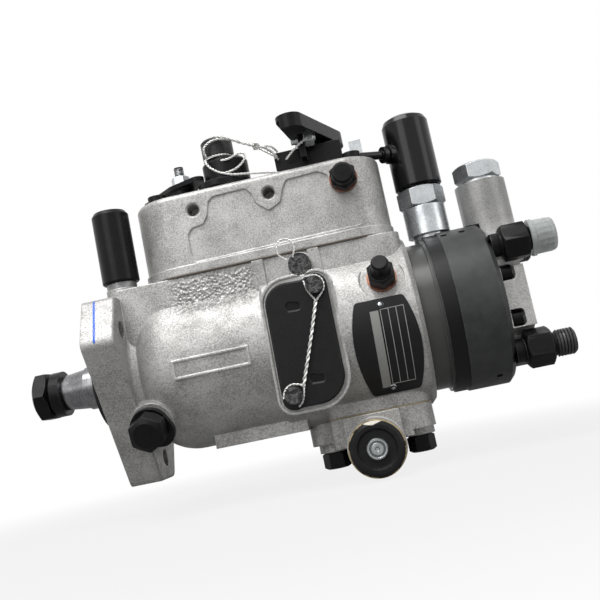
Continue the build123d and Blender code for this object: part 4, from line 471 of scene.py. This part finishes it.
# ---------------------------------------------------------------- finishes
# Places on the part are in metres. Each extra adds to the colour, the gloss and the normal of one finish.
def cast_extra(patch=None, mark=False):
    """Casting skin: pits, a hammered patch darker towards its dent bottoms, a paint mark, and a near-black pilot
    spigot that is partly a dark seal and partly painted shade, all in object coordinates.
    """
    def work(made, colour, gloss, normal):
        x, y, z = made.axes()
        pits = made.noise(420, 6, 0.7)
        colour = made.blend(made.span(pits, 0.58, 0.74, 0, 0.75), colour, (0.12, 0.12, 0.115))
        normal = made.relief(made.noise(170, 3, 0.5), 0.25 * MM, normal)
        if patch:
            start, end, bottom, top = patch
            inside = made.times(made.window(x, start, end, 0.004), made.window(z, bottom, top, 0.002))
            dents = made.node("ShaderNodeTexVoronoi", {"Scale": 620, "Vector": made.place}).outputs["Distance"]
            normal = made.relief(made.times(dents, inside), 0.8 * MM, normal)
            # Darker colour towards the middle of each dent in the hammered patch.
            dent_darkening = made.times(inside, made.span(dents, 0.1, 0.5, 0.55, 0))
            colour = made.blend(dent_darkening, colour, (0.10, 0.10, 0.10))
        if mark:
            lug_y, lug_z = -0.866, 0.5
            out = made.maths("ADD", made.times(y, lug_y), made.times(z, lug_z))
            slant = made.maths("ADD", x, made.times(z, 0.0375))
            wander = made.times(made.noise(160, 3), 0.0007)
            along = made.maths("ADD", slant, wander)
            line = made.times(made.window(along, 0.0079, 0.0091, 0.0002), made.span(out, 0.0569, 0.0573))
            chalky = made.span(made.noise(900, 3), 0.3, 0.5, 0.55, 1)
            blue, pilot_seal_and_shade = (0.02, 0.08, 0.40), (0.02, 0.02, 0.021)
            colour = made.blend(made.times(line, chalky), colour, blue)
            # The pilot spigot beyond the mounting face is painted near black: partly a dark seal, partly painted
            # shade.
            colour = made.blend(made.span(x, -0.0006, -0.0002, 1, 0), colour, pilot_seal_and_shade)
        return colour, gloss, normal
    return work


def head_extra(made, colour, gloss, normal):
    """The head's dark polished neck and black band, by their places along the shaft."""
    x = made.axes()[0]
    neck = made.span(x, 0.1788, 0.1791, 1, 0)
    band = made.window(x, 0.1803, 0.1878, 0.0001)
    colour = made.blend(neck, colour, (0.085, 0.085, 0.083))
    gloss = made.maths("SUBTRACT", gloss, made.times(neck, 0.2))
    colour = made.blend(band, colour, (0.004, 0.004, 0.0045))
    return colour, gloss, normal


def boss_extra(made, colour, gloss, normal):
    """The end plate's inlet boss is greyer than its machined face."""
    up = made.axes()[2]
    pits = made.noise(420, 6, 0.7)
    colour = made.blend(made.span(pits, 0.60, 0.74, 0, 0.6), colour, (0.13, 0.13, 0.125))
    colour = made.blend(made.span(up, 0.034, 0.044, 0, 0.55), colour, (0.12, 0.12, 0.12))
    return colour, gloss, normal


def slots_extra(made, colour, gloss, normal):
    """Painted shade on the near-black floors of the side plate's two slots, and a lighter grey band along each
    slot's lower lip.
    """
    x, y, z = made.axes()
    half_width, half_height = 0.0031, 0.0017
    for across, up in ((0.1073, 0.0152), (0.1120, -0.0219)):
        inside = made.times(made.window(x, across - half_width, across + half_width, 0.0003),
                            made.window(z, up - half_height, up + half_height, 0.0003))
        lip = made.times(made.window(x, across - 0.0030, across + 0.0030, 0.0004),
                         made.window(z, up - 0.0026, up - 0.0018, 0.0002))
        # Painted shade: the slot floors are set near black.
        colour = made.blend(inside, colour, (0.0008, 0.0008, 0.0008))
        # A lighter grey band along the lower lip of each slot.
        colour = made.blend(made.times(lip, 0.75), colour, (0.10, 0.10, 0.10))
    return colour, gloss, normal


def plate_extra(made, colour, gloss, normal):
    """A blank grid of pale lines and a plain bright strip."""
    x, y, z = made.axes()
    half_line, soft = 0.00013, 0.00006
    slant = made.maths("ADD", x, made.times(made.maths("SUBTRACT", z, 0.005), -0.033))
    inside = made.window(z, -0.032, 0.0049, 0.0001)
    across = made.window(slant, 0.1490, 0.1606, 0.0001)
    upright, level = (0.1490, 0.1529, 0.1568, 0.1606), (-0.0319, 0.0048)
    lines = None
    for value, places, reach in ((slant, upright, inside), (z, level, across)):
        for place in places:
            line = made.times(made.window(value, place - half_line, place + half_line, soft), reach)
            lines = made.maths("MAXIMUM", lines, line) if lines else line
    colour = made.blend(made.times(lines, 0.8), colour, (0.62, 0.62, 0.60))
    strip = made.times(made.window(slant, 0.1437, 0.1480, 0.0001), made.window(z, -0.0332, 0.0046, 0.0001))
    brushed = made.noise(900, 3, 0.6, stretch=(1, 1, 9))
    colour = made.blend(strip, colour, made.blend(brushed, (0.20, 0.20, 0.19), (0.42, 0.42, 0.40)))
    return colour, gloss, normal


def rough_face(made, colour, gloss, normal):
    """Coarse torn metal on the faces that look towards the near side, and black on the others."""
    black = (0.010, 0.010, 0.011)
    normals = made.node("ShaderNodeNewGeometry").outputs["Normal"]
    near = made.span(made.node("ShaderNodeSeparateXYZ", {0: normals}).outputs[1], -0.9, -0.7, 1, 0)
    coarse = made.noise(520, 5, 0.65)
    torn = made.blend(made.span(coarse, 0.42, 0.62), black, (0.13, 0.13, 0.13))
    colour = made.blend(near, black, torn)
    return colour, gloss, made.relief(made.times(coarse, near), 1.2 * MM, normal)


def advance_reach(made):
    """Distance from the advance unit's axis, height above it and distance along the shaft from it."""
    x, y, z = made.axes()
    rise = made.maths("SUBTRACT", z, ADVANCE_AXIS[2] * MM)
    across = made.maths("SUBTRACT", x, ADVANCE_AXIS[0] * MM)
    squares = made.maths("ADD", made.maths("POWER", across, 2.0), made.maths("POWER", rise, 2.0))
    return made.maths("SQRT", squares), rise, across


def advance_cap_extra(made, colour, gloss, normal):
    """A painted highlight on the flat at the top of the black cap, and its worn brass rim."""
    out, rise, across = advance_reach(made)
    uneven = made.times(made.noise(260, 3), 0.0006)
    drop = made.times(made.maths("ABSOLUTE", across), 0.28)
    level = made.maths("SUBTRACT", made.maths("ADD", rise, uneven), drop)
    flat = made.times(made.span(level, 0.0117, 0.0119), made.span(out, 0.0135, 0.0137, 1, 0))
    # Painted highlight: pale colour on the cap's top flat.
    colour = made.blend(flat, colour, (0.72, 0.68, 0.60))
    worn = made.span(made.noise(300, 3), 0.42, 0.52)
    rim = made.times(made.window(out, 0.01355, 0.0141, 0.0001), worn)
    colour = made.blend(rim, colour, (0.42, 0.35, 0.22))
    return colour, gloss, normal


def plug_extra(made, colour, gloss, normal):
    """Painted shade in the turned grooves and steps of the zinc plug."""
    out = advance_reach(made)[0]
    for radius, width in ((0.0010, 0.0002), (0.00345, 0.0004), (0.0050, 0.0002)):
        ring = made.window(out, radius - width, radius + width, 0.0001)
        # Painted shade: dark rings over the plug's groove and steps.
        colour = made.blend(made.times(ring, 0.85), colour, (0.10, 0.105, 0.11))
    return colour, gloss, normal


def clear_extra(made, colour, gloss, normal):
    """Lets light into the milky cap."""
    made.surface(Transmission_Weight=0.5, IOR=1.3)
    return colour, gloss, normal


def grey(value):
    return value, value, value


def make_finishes(settings):
    """Every finish, by the short name that the pieces call it."""
    casting = settings.casting
    alloy, stain = tuple(casting.alloy), tuple(casting.stain)
    # Near-white edge colour: partly edge wear, partly a painted edge highlight.
    worn_and_lit_edge = (0.80, 0.80, 0.79)
    cast = dict(light=alloy, dark=stain, metal=0.45, rough=(0.36, 0.54), patch=60, grain=casting.grain, edge=0.9,
                wear_and_highlight=worn_and_lit_edge, wear_and_highlight_amount=0.8, specular=0.4)
    looks = {
        "body_cast": dict(name="Body casting", relief=0.16, extra=cast_extra(HAMMERED_PATCH, mark=True), **cast),
        "cast": dict(name="Cover casting", relief=0.12, extra=cast_extra(), **cast),
        "machined": dict(
            name="Machined aluminium", light=(0.62, 0.61, 0.60), dark=(0.34, 0.34, 0.33), metal=0.45,
            rough=(0.30, 0.45), patch=70, grain=1500, relief=0.10, edge=0.6, wear_and_highlight=worn_and_lit_edge, wear_and_highlight_amount=0.9,
            specular=0.4, extra=boss_extra),
        "steel": dict(
            name="Bright steel", light=(0.46, 0.455, 0.45), dark=grey(0.24), metal=1.0, rough=(0.16, 0.32),
            patch=120, relief=0.008, wear_and_highlight=grey(0.7), stretch=(12, 1, 1)),
        "shaft": dict(
            name="Ground shaft", light=(0.30, 0.30, 0.31), dark=(0.13, 0.13, 0.135), metal=1.0,
            rough=(0.20, 0.30), patch=60, grain=1500, relief=0.01, wear_and_highlight=grey(0.75), wear_and_highlight_amount=0.8,
            stretch=(3, 0.2, 0.2)),
        "grey": dict(
            name="Grey steel", light=grey(0.34), dark=grey(0.16), metal=0.7, rough=(0.35, 0.55), patch=200,
            relief=0.05, wear_and_highlight=grey(0.6), wear_and_highlight_amount=0.7),
        "black": dict(
            name="Black phosphate", light=(0.008, 0.008, 0.009), dark=grey(0.003), rough=(0.26, 0.40), patch=160,
            grain=2400, relief=0.04, edge=0.45, wear_and_highlight=grey(0.20), wear_and_highlight_amount=0.8, specular=0.16),
        "dark_ring": dict(
            name="Dark phosphate", light=(0.060, 0.062, 0.061), dark=(0.030, 0.031, 0.031), metal=0.1,
            rough=(0.34, 0.48), patch=110, relief=0.03, edge=0.6, wear_and_highlight=grey(0.26), wear_and_highlight_amount=0.7, specular=0.26,
            stretch=(9, 1, 1), extra=head_extra),
        "plate": dict(
            name="Blank name plate", light=(0.012, 0.012, 0.013), dark=grey(0.007), rough=(0.30, 0.42), patch=160,
            grain=2000, relief=0.01, wear_and_highlight=grey(0.2), wear_and_highlight_amount=0.5, specular=0.25, extra=plate_extra),
        "torn": dict(
            name="Torn screw faces", light=grey(0.06), dark=grey(0.02), metal=0.1, rough=(0.35, 0.55), patch=300,
            grain=1800, relief=0.05, wear_and_highlight=grey(0.25), wear_and_highlight_amount=0.8, specular=0.3, extra=rough_face),
        "knob": dict(
            name="Worn black knob", light=(0.030, 0.030, 0.031), dark=grey(0.008), rough=(0.30, 0.45), patch=200,
            grain=1500, relief=0.06, edge=0.5, wear_and_highlight=grey(0.22), wear_and_highlight_amount=0.9, specular=0.25),
        "advance_cap": dict(
            name="Advance cap", light=(0.014, 0.014, 0.015), dark=grey(0.007), rough=(0.32, 0.45), patch=160,
            grain=2400, relief=0.03, edge=0.5, wear_and_highlight=(0.06, 0.055, 0.05), wear_and_highlight_amount=0.8, specular=0.16,
            extra=advance_cap_extra),
        "clear": dict(
            name="Milky cap", light=(0.70, 0.72, 0.71), dark=(0.52, 0.55, 0.54), rough=(0.16, 0.28), patch=90,
            grain=1200, extra=clear_extra),
        "thread": dict(
            name="Worn black thread", light=grey(0.075), dark=grey(0.035), metal=0.1, rough=(0.30, 0.42),
            patch=300, edge=0.1, specular=0.3),
        "black_paint": dict(
            name="Black paint", light=(0.010, 0.010, 0.011), dark=grey(0.005), rough=(0.28, 0.42), patch=130,
            grain=1700, relief=0.06, edge=0.6, wear_and_highlight=grey(0.13), wear_and_highlight_amount=0.7, specular=0.2, extra=slots_extra),
        "gloss": dict(
            name="Black gloss", light=(0.005, 0.005, 0.006), dark=grey(0.003), rough=(0.14, 0.22), patch=90,
            grain=900, relief=0.01, edge=0.6, specular=0.28),
        "rubber": dict(
            name="Black sleeve", light=(0.008, 0.008, 0.009), dark=grey(0.004), rough=(0.24, 0.34), patch=130,
            grain=1500, edge=0.6, specular=0.16),
        "zinc": dict(
            name="Zinc plate", light=(0.62, 0.64, 0.65), dark=(0.38, 0.40, 0.42), metal=0.85, rough=(0.22, 0.36),
            patch=100, grain=2200, edge=0.4, wear_and_highlight=worn_and_lit_edge),
        "plug": dict(
            name="Ringed zinc", light=(0.50, 0.52, 0.53), dark=(0.26, 0.28, 0.29), metal=0.85, rough=(0.22, 0.36),
            patch=200, grain=2200, relief=0.04, wear_and_highlight=worn_and_lit_edge, extra=plug_extra),
        "copper": dict(
            name="Copper", light=(0.36, 0.17, 0.11), dark=(0.15, 0.07, 0.05), metal=0.8, rough=(0.3, 0.45),
            patch=250, grain=2200, edge=0.2, wear_and_highlight=(0.5, 0.30, 0.22)),
        "brass": dict(
            name="Brass", light=(0.50, 0.38, 0.18), dark=(0.30, 0.21, 0.09), metal=0.9, rough=(0.25, 0.4),
            patch=200, grain=2200, edge=0.2, wear_and_highlight=(0.7, 0.58, 0.34)),
        "gasket": dict(
            name="Gasket", light=(0.16, 0.13, 0.09), dark=(0.08, 0.065, 0.05), rough=(0.45, 0.6), patch=300,
            edge=0.2),
        "pale_gasket": dict(
            name="Pale gasket", light=(0.46, 0.38, 0.24), dark=(0.26, 0.21, 0.13), metal=0.2, rough=(0.4, 0.55),
            patch=300, edge=0.2),
        "wire": dict(
            name="Seal wire", light=(0.88, 0.88, 0.86), dark=(0.62, 0.62, 0.60), metal=0.5, rough=(0.3, 0.4),
            patch=400, relief=0.01, edge=0.1),
    }
    for key, look in looks.items():
        FINISHES[key] = finish(**look)


# ---------------------------------------------------------------- operators
class PieceOperator:
    """What the operators share: each one builds its pieces once."""
    bl_options = {"REGISTER", "UNDO"}

    def execute(self, context):
        self.build(context.scene)
        return {"FINISHED"}


class PUMP_OT_finishes(PieceOperator, bpy.types.Operator):
    """Make the finishes that every piece shares"""
    bl_idname = "pump.finishes"
    bl_label = "Finishes"

    def build(self, scene):
        make_finishes(scene.pump)


class PUMP_OT_castings(PieceOperator, bpy.types.Operator):
    """Give the aluminium castings and machined faces their skin"""
    bl_idname = "pump.castings"
    bl_label = "Castings"

    def build(self, scene):
        dress("body_cast", "pump_housing")
        dress("cast", "governor_cover", "advance_housing")
        dress("machined", "end_plate")
        dress("gasket", "cover_gasket")
        dress("pale_gasket", "advance_gasket")
        dress("black", "cover_screws", "cover_plug")
        dress("copper", "sealing_washers")


class PUMP_OT_drive_end(PieceOperator, bpy.types.Operator):
    """Finish the shaft, nut, washer, seals and the shaft lock"""
    bl_idname = "pump.drive_end"
    bl_label = "Drive end"

    def build(self, scene):
        dress("shaft", "drive_shaft")
        dress("black", "shaft_nut", "shaft_washer", "shaft_lock_screw", "vent_screw")
        dress("rubber", "shaft_seals", "return_sleeve")
        dress("brass", "shaft_bearing")
        dress("grey", "return_connector")


class PUMP_OT_head(PieceOperator, bpy.types.Operator):
    """Finish the hydraulic head, its unions with threads, and the inlet"""
    bl_idname = "pump.head"
    bl_label = "Hydraulic head"

    def build(self, scene):
        dress("dark_ring", "hydraulic_head")
        dress("steel", "head_sleeve", "transfer_pump_liner")
        dress("black", "end_plate_screws")
        dress("zinc", "inlet_adaptor", "solenoid_body")
        dress("gloss", "solenoid_can")
        self.unions(scene.pump.threads)
        self.dust_cap()

    def unions(self, threads):
        """Four unions from one body, set round the head, with threads climbing round their ends."""
        seat, hex_start, hex_end, tip = 211.5, 216.5, 230.5, 241.8
        bore, neck_radius, groove_radius, thread_radius = 1.5, 6.2, 5.8, 6.35
        along = (0, 0, 0), (1, 0, 0)
        hex_at, neck_at, tip_at = hex_start - seat, hex_end - seat, tip - seat
        body = Maker()
        body.turned([(0, bore), (0, neck_radius), (hex_at - 0.7, neck_radius), (hex_at, groove_radius),
                     (hex_at + 0.4, groove_radius), (hex_at + 0.4, bore)], *along)
        body.hexagon(17.5, hex_end - hex_start, (hex_at, 0, 0), (1, 0, 0), 1.2, bore)
        body.turned([(neck_at - 0.1, bore), (neck_at - 0.1, neck_radius), (neck_at + 2.0, 5.9),
                     (neck_at + 2.6, thread_radius), (tip_at - 0.9, thread_radius), (tip_at, 5.6), (tip_at, 4.9),
                     (tip_at - 3.5, bore)], *along)
        template = body.close("union_body")
        places = [UNION_CIRCLE * Vector((math.cos(a), math.sin(a))) for a in map(math.radians, UNION_ANGLES)]
        seats = point_mesh("union_places", [(seat, *place) for place in places])
        turns = seats.attributes.new("turn", "FLOAT", "POINT")
        turns.data.foreach_set("value", [math.radians(a) for a in UNION_TURNS])
        shape = bpy.data.objects.new("union_shape", template)
        unions = grown(repeat_tree("black", shape), seats, "delivery_unions_dressed", "housing", "black_steel")
        bpy.data.objects.remove(shape)
        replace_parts(unions, "delivery_unions")
        ends = point_mesh("union_ends", [(tip - 9.3, *place) for place in places])
        grown(thread_tree("thread"), ends, "union_threads", "housing", "black_steel", Radius=6.36 * MM,
              Pitch=threads.union_pitch, Turns=5.6, Ridge=0.62 * MM, Steps=threads.steps)

    def dust_cap(self):
        """A ribbed push-on cap."""
        y, z = (UNION_CIRCLE * f(math.radians(UNION_ANGLES[1])) for f in (math.cos, math.sin))
        rib_count, rib_height = 18, 0.12

        def ribs(angle, distance, radius):
            inside = 234.2 < distance < 243.0 and radius > 8.4
            return radius + (rib_height * math.cos(angle * rib_count) if inside else 0)

        cap = Maker()
        cap.turned([(231.3, 7.3), (231.3, 9.2), (231.7, 9.5), (233.4, 9.5), (233.8, 9.0), (234.4, 8.75),
                    (238, 8.7), (241.4, 8.65), (243.0, 8.4), (243.8, 7.8), (244.0, 7.2), (244.0, 5.8), (243.4, 5.2),
                    (243.4, 0), (242.9, 0), (242.9, 6.6), (242.3, 7.3)], (0, y, z), (1, 0, 0), 144, ribs)
        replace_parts(cap.finish("union_cap_ribbed", "thread_cap", "clear_cap", "clear"), "union_cap")


class PUMP_OT_side_cover(PieceOperator, bpy.types.Operator):
    """Finish the side cover, its sealed screws and their wires"""
    bl_idname = "pump.side_cover"
    bl_label = "Side cover"

    def build(self, scene):
        dress("black_paint", "side_cover_plate")
        dress("torn", "tamper_screws")
        dress("plate", "name_plate")
        self.rivets()
        self.lower_wire(scene.pump.wires)
        self.upper_wire(scene.pump.wires)

    def rivets(self):
        """Domed heads over the name plate's rivets."""
        start, width = 46.9, 1.9
        rise = [(start + 0.05 + math.sin(a), width * math.cos(a)) for a in (0.3, 0.6, 0.9, 1.2, 1.4)]
        dome = [(start, 0), (start, width), *rise, (47.97, 0)]
        heads = Maker()
        for x, z in ((149.5, 7.3), (147.6, -33.6)):
            angle = math.asin(z / 47)
            heads.turned(dome, (x, 0, 0), (0, -math.cos(angle), math.sin(angle)), 24)
        heads.finish("plate_rivet_heads", "housing", "grey_steel", "zinc")

    def lower_wire(self, wires):
        """The wire through the side cover's sealed screws."""
        y = -50.6
        loops = (
            [(108.6, -42.6, 39.6), (105.6, -43.4, 41.6), (103.9, -43.8, 45), (105.2, -43.8, 49.4),
             (109.4, -43.6, 51.0), (113.0, -43.4, 48.6), (113.6, -43.0, 44.2), (111.6, -42.2, 40.6)],
            [(114.6, -42.4, 30.4), (115.0, -46.0, 28.2), (115.3, y, 24.6), (116.0, y, 20.6), (118.9, y, 15.8)],
            [(115.4, -46.4, 28.6), (118.4, y, 28.6), (123.0, y, 27.4), (124.9, y, 23.4), (123.6, y, 19.0),
             (119.2, y, 15.4)],
            [(104.9, y, -24.6), (103.9, y, -32.2), (100.6, y, -33.6)],
            [(104.6, y, -24.0), (101.4, y, -22.6), (97.6, y, -22.6), (94.6, y, -25.4), (93.9, y, -28.6)])
        runs = ([(119.2, y, 15.8), (115.2, -50.9, 3.6), (108.6, -50.8, -14.2), (104.7, y, -24.6)],)
        seal_wire("seal_wire_lower", wires, loops, runs, loop_strand=1, run_strand=1.7, run_lay=1.9)

    def upper_wire(self, wires):
        """The wire round the sealed adjuster and through the stop screw."""
        loops = (
            [(89.4, -14.0, 108.2), (87.0, -20.4, 108.4), (80.6, -23.2, 108.4), (74.0, -20.4, 108.3),
             (71.9, -13.5, 108.2), (74.0, -6.8, 108.2), (80.6, -4.2, 108.2), (87.2, -6.8, 108.2),
             (89.4, -12.6, 108.4)],
            [(75.0, -21.0, 108.6), (73.4, -23.8, 112.4), (78.0, -24.2, 116.4), (84.4, -24.2, 117.0),
             (89.6, -24.0, 115.0)],
            [(74.4, -22.0, 107.4), (74.6, -25.4, 103.4), (79.8, -26.4, 98.0), (86.8, -26.4, 94.9),
             (96.6, -25.8, 93.6), (108.8, -22.4, 92.4), (112.4, -19.0, 92.2)],
            [(83.0, -24.6, 104.6), (86.6, -26.0, 103.6), (91.0, -26.2, 105.2), (95.2, -26.0, 106.0),
             (97.0, -26.0, 103.6), (94.2, -26.4, 99.6), (88.6, -26.6, 96.6), (83.2, -26.4, 96.6)],
            [(104.4, -24.4, 106.9), (108.6, -24.2, 107.6), (112.2, -22.6, 105.6), (113.6, -19.6, 103.6)],
            [(104.4, -24.4, 106.7), (108.4, -24.6, 103.2), (112.0, -22.8, 100.6), (113.4, -19.4, 99.4)],
            [(100.8, -24.2, 109.8), (102.6, -25.8, 110.0), (104.4, -25.6, 108.2), (103.6, -23.6, 106.4),
             (101.8, -23.4, 106.8), (101.6, -25.4, 108.6), (103.4, -26.2, 109.4), (105.4, -24.6, 107.4),
             (105.0, -23.2, 105.8)],
            [(117.6, -20.2, 98.4), (121.6, -25.4, 100.2), (126.0, -27.4, 102.6), (130.2, -27.0, 104.9),
             (132.2, -24.4, 106.4)])
        runs = (
            [(81.8, -24.2, 118.6), (87.6, -24.4, 117.0), (94.4, -24.4, 112.6), (100.6, -24.4, 109.4),
             (105.2, -24.4, 106.6)],
            [(104.6, -24.4, 107.2), (107.4, -24.0, 106.6), (110.2, -22.4, 104.0), (112.4, -20.0, 100.8)])
        seal_wire("seal_wire_upper", wires, loops, runs, loop_strand=1.25, run_strand=1.9, run_lay=1.7)


class PUMP_OT_advance(PieceOperator, bpy.types.Operator):
    """Finish the advance unit's bolts and caps"""
    bl_idname = "pump.advance"
    bl_label = "Advance unit"

    def build(self, scene):
        dress("black", "advance_bolts")
        dress("advance_cap", "advance_caps")
        dress("grey", "advance_spring")
        axis = ADVANCE_AXIS, (0, -1, 0)
        face = Maker()
        face.turned([(49.5, 0), (49.5, 5.2), (50.5, 5.2), (50.8, 4.9), (50.8, 4.1), (50.3, 3.7), (50.3, 3.2),
                     (50.7, 2.9), (50.7, 1.2), (50.4, 0.8), (50.4, 0)], *axis)
        face.finish("advance_plug_face", "housing", "zinc_steel", "plug")
        ring = Maker()
        ring.turned([(47.5, 13.8), (47.5, 14.15), (48.05, 14.15), (48.05, 13.8)], *axis, steps=96)
        ring.finish("advance_cap_ring", "housing", "copper", "brass")


class PUMP_OT_levers(PieceOperator, bpy.types.Operator):
    """Finish the fittings on top of the governor cover"""
    bl_idname = "pump.levers"
    bl_label = "Levers"

    def build(self, scene):
        dress("black", "adjuster_body", "stop_lever", "throttle_lever", "throttle_shaft", "speed_stop_bracket")
        dress("knob", "adjuster_cap")
        dress("zinc", "stop_lever_nut", "speed_stop_screw")
        self.stop_end()
        self.throttle_end()

    def stop_end(self):
        """Thread on the stop lever's stud, and the washer under its nut."""
        x, y, bore = 56, -8, 2.62
        grown(thread_tree("zinc"), point_mesh("stop_stud", [(x, y, 105.8)]), "stop_stud_thread", "stop",
              "zinc_steel", Radius=2.5 * MM, Pitch=0.8 * MM, Turns=6.0, Ridge=0.26 * MM, Steps=32, Lean=0.0)
        washer = Maker()
        washer.turned([(99.5, bore), (99.5, 6.4), (99.75, 6.6), (100.3, 6.6), (100.5, 6.4), (100.5, bore)],
                      (x, y, 0), (0, 0, 1))
        washer.finish("stop_lever_washer", "stop", "zinc_steel", "zinc")

    def throttle_end(self):
        """Nut and washer on top of the throttle lever."""
        x, y, seat, bore = 137, 6, 115.6, 3.02
        top = Maker()
        top.turned([(114.5, bore), (114.5, 6.6), (114.8, 6.8), (115.4, 6.8), (seat, 6.6), (seat, bore)],
                   (x, y, 0), (0, 0, 1))
        top.hexagon(10, 3.4, (x, y, seat), (0, 0, 1), 0.6, bore)
        top.finish("throttle_lever_nut", "throttle", "black_steel", "black")


class PUMP_OT_inner_works(PieceOperator, bpy.types.Operator):
    """Finish the governor, the pumping rotor and the cam inside"""
    bl_idname = "pump.inner_works"
    bl_label = "Inner works"

    def build(self, scene):
        dress("steel", "distributor_rotor", "plunger_1", "plunger_2", "roller_1", "roller_2", "cam_ring",
              "advance_piston", "transfer_rotor", "thrust_sleeve", "metering_valve", "solenoid_plunger", "link_rod")
        dress("grey", "governor_cage", "governor_weight_1", "governor_weight_2", "governor_arm", "governor_pivot")


class PUMP_OT_stage(PieceOperator, bpy.types.Operator):
    """Set the floor, the soft studio lights and the camera"""
    bl_idname = "pump.stage"
    bl_label = "Stage"

    def build(self, scene):
        stage = scene.pump.stage
        self.floor(stage)
        self.world(scene)
        self.lamp("Top softbox", (-0.05, -0.45, 0.95), (0.10, 0, 0.03), 0.8, 0.6, stage.key)
        self.lamp("Front softbox", (-0.30, -0.95, 0.50), (0.10, 0, 0.02), 0.6, 0.6, stage.fill)
        self.lamp("Edge softbox", (0.9, -0.35, 0.35), (0.15, 0, 0.02), 0.35, 0.7, stage.fill * 0.5)
        self.camera(scene)

    def floor(self, stage):
        """A matte paper floor that the camera sees as pale grey under the pump and white further out."""
        made = Finish("Studio floor")
        paper, colour = made.noise(300, 2), tuple(stage.floor)
        shade = made.blend(paper, colour, tuple(c * 0.985 for c in colour))
        made.surface(Base_Color=shade, Roughness=0.9, Specular_IOR_Level=0.1)
        glow = made.node("ShaderNodeEmission", {"Color": WHITE})
        rays = made.node("ShaderNodeLightPath").outputs
        clear = made.maths("MAXIMUM", rays["Is Camera Ray"], rays["Is Transmission Ray"])
        away = made.node("ShaderNodeVectorMath", {0: made.place, 1: (0.10, 0.0, LOW.z)}, operation="DISTANCE")
        white = made.span(away.outputs["Value"], 0.16, 0.40, 0.84, 1.0, smooth=True)
        seen = made.maths("MAXIMUM", made.times(clear, white), made.times(rays["Is Glossy Ray"], 0.15))
        surface = made.mixed(seen, made.shader.outputs[0], glow.outputs[0])
        made.feed(surface, made.tree.nodes["Material Output"].inputs["Surface"])
        reach, level = 4.0, LOW.z - 0.5 * MM
        mesh = bpy.data.meshes.new("studio_floor")
        corners = [(-reach, -reach, level), (reach, -reach, level), (reach, reach, level), (-reach, reach, level)]
        mesh.from_pydata([*corners, (0, 0, level)], [], [(i, 4, (i + 1) % 4) for i in range(4)])
        mesh.materials.append(made.material)
        ground = bpy.data.objects.new("studio_floor", mesh)
        bpy.context.scene.collection.objects.link(ground)

    def world(self, scene):
        """Soft light from all round, with a white background for the camera."""
        scene.world = bpy.data.worlds.new("Studio")
        scene.world.use_nodes = True
        made = Tree(scene.world.node_tree)
        made.tree.nodes.remove(made.tree.nodes["Background"])
        soft, bright = (made.node("ShaderNodeBackground", {"Color": WHITE, "Strength": strength}).outputs[0]
                        for strength in (0.18, 1.0))
        rays = made.node("ShaderNodeLightPath").outputs
        clear = made.maths("MAXIMUM", rays["Is Camera Ray"], rays["Is Transmission Ray"])
        seen = made.maths("MAXIMUM", clear, rays["Is Glossy Ray"])
        made.feed(made.mixed(seen, soft, bright), made.tree.nodes["World Output"].inputs["Surface"])

    def lamp(self, name, place, aim, width, height, power):
        """A rectangular softbox that looks at a point."""
        light = bpy.data.lights.new(name, "AREA")
        light.shape = "RECTANGLE"
        light.size, light.size_y = width, height
        light.energy = power
        lamp = bpy.data.objects.new(name, light)
        lamp.location = place
        lamp.rotation_euler = (Vector(aim) - Vector(place)).to_track_quat("-Z", "Y").to_euler()
        bpy.context.scene.collection.objects.link(lamp)

    def camera(self, scene):
        """The camera, low and a little rolled, looking at the pump's middle."""
        azimuth, elevation, roll = (math.radians(angle) for angle in (3.95, -7.55, 11.65))
        target, distance = Vector((0.10804, 0, 0.02401)), 0.44577
        back = Vector((math.sin(azimuth) * math.cos(elevation), -math.cos(azimuth) * math.cos(elevation),
                       math.sin(elevation)))
        level = Vector((math.cos(azimuth), math.sin(azimuth), 0))
        upright = level.cross(-back)
        right = level * math.cos(roll) - upright * math.sin(roll)
        up = right.cross(-back)
        view = bpy.data.cameras.new("Camera")
        view.lens, view.sensor_width = 48, 36
        view.clip_start = 0.02
        eye = bpy.data.objects.new("Camera", view)
        turn = Matrix((right, up, back)).transposed().to_4x4()
        eye.matrix_world = Matrix.Translation(target + back * distance) @ turn
        bpy.context.scene.collection.objects.link(eye)
        scene.camera = eye
        scene.view_settings.view_transform = "Standard"


class PumpSettings(bpy.types.PropertyGroup):
    casting: PointerProperty(type=PumpCastingSettings)
    threads: PointerProperty(type=PumpThreadSettings)
    wires: PointerProperty(type=PumpWireSettings)
    stage: PointerProperty(type=PumpStageSettings)


OPERATORS = (
    PUMP_OT_finishes, PUMP_OT_castings, PUMP_OT_drive_end, PUMP_OT_head, PUMP_OT_side_cover,
    PUMP_OT_advance, PUMP_OT_levers, PUMP_OT_inner_works, PUMP_OT_stage)


class PUMP_PT_panel(bpy.types.Panel):
    """Lists the pieces of the injection pump"""
    bl_idname = "PUMP_PT_panel"
    bl_label = "Injection pump"
    bl_space_type = "VIEW_3D"
    bl_region_type = "UI"
    bl_category = "Injection pump"

    def draw(self, context):
        column = self.layout.column()
        for operator in OPERATORS:
            column.operator(operator.bl_idname)


CLASSES = (PumpCastingSettings, PumpThreadSettings, PumpWireSettings, PumpStageSettings, PumpSettings,
           *OPERATORS, PUMP_PT_panel)


def register():
    for made in CLASSES:
        bpy.utils.register_class(made)
    bpy.types.Scene.pump = PointerProperty(type=PumpSettings)


def unregister():
    del bpy.types.Scene.pump
    for made in reversed(CLASSES):
        bpy.utils.unregister_class(made)


def main():
    register()
    for operator in OPERATORS:
        group, name = operator.bl_idname.split(".")
        getattr(getattr(bpy.ops, group), name)()


if __name__ == "__main__":
    main()
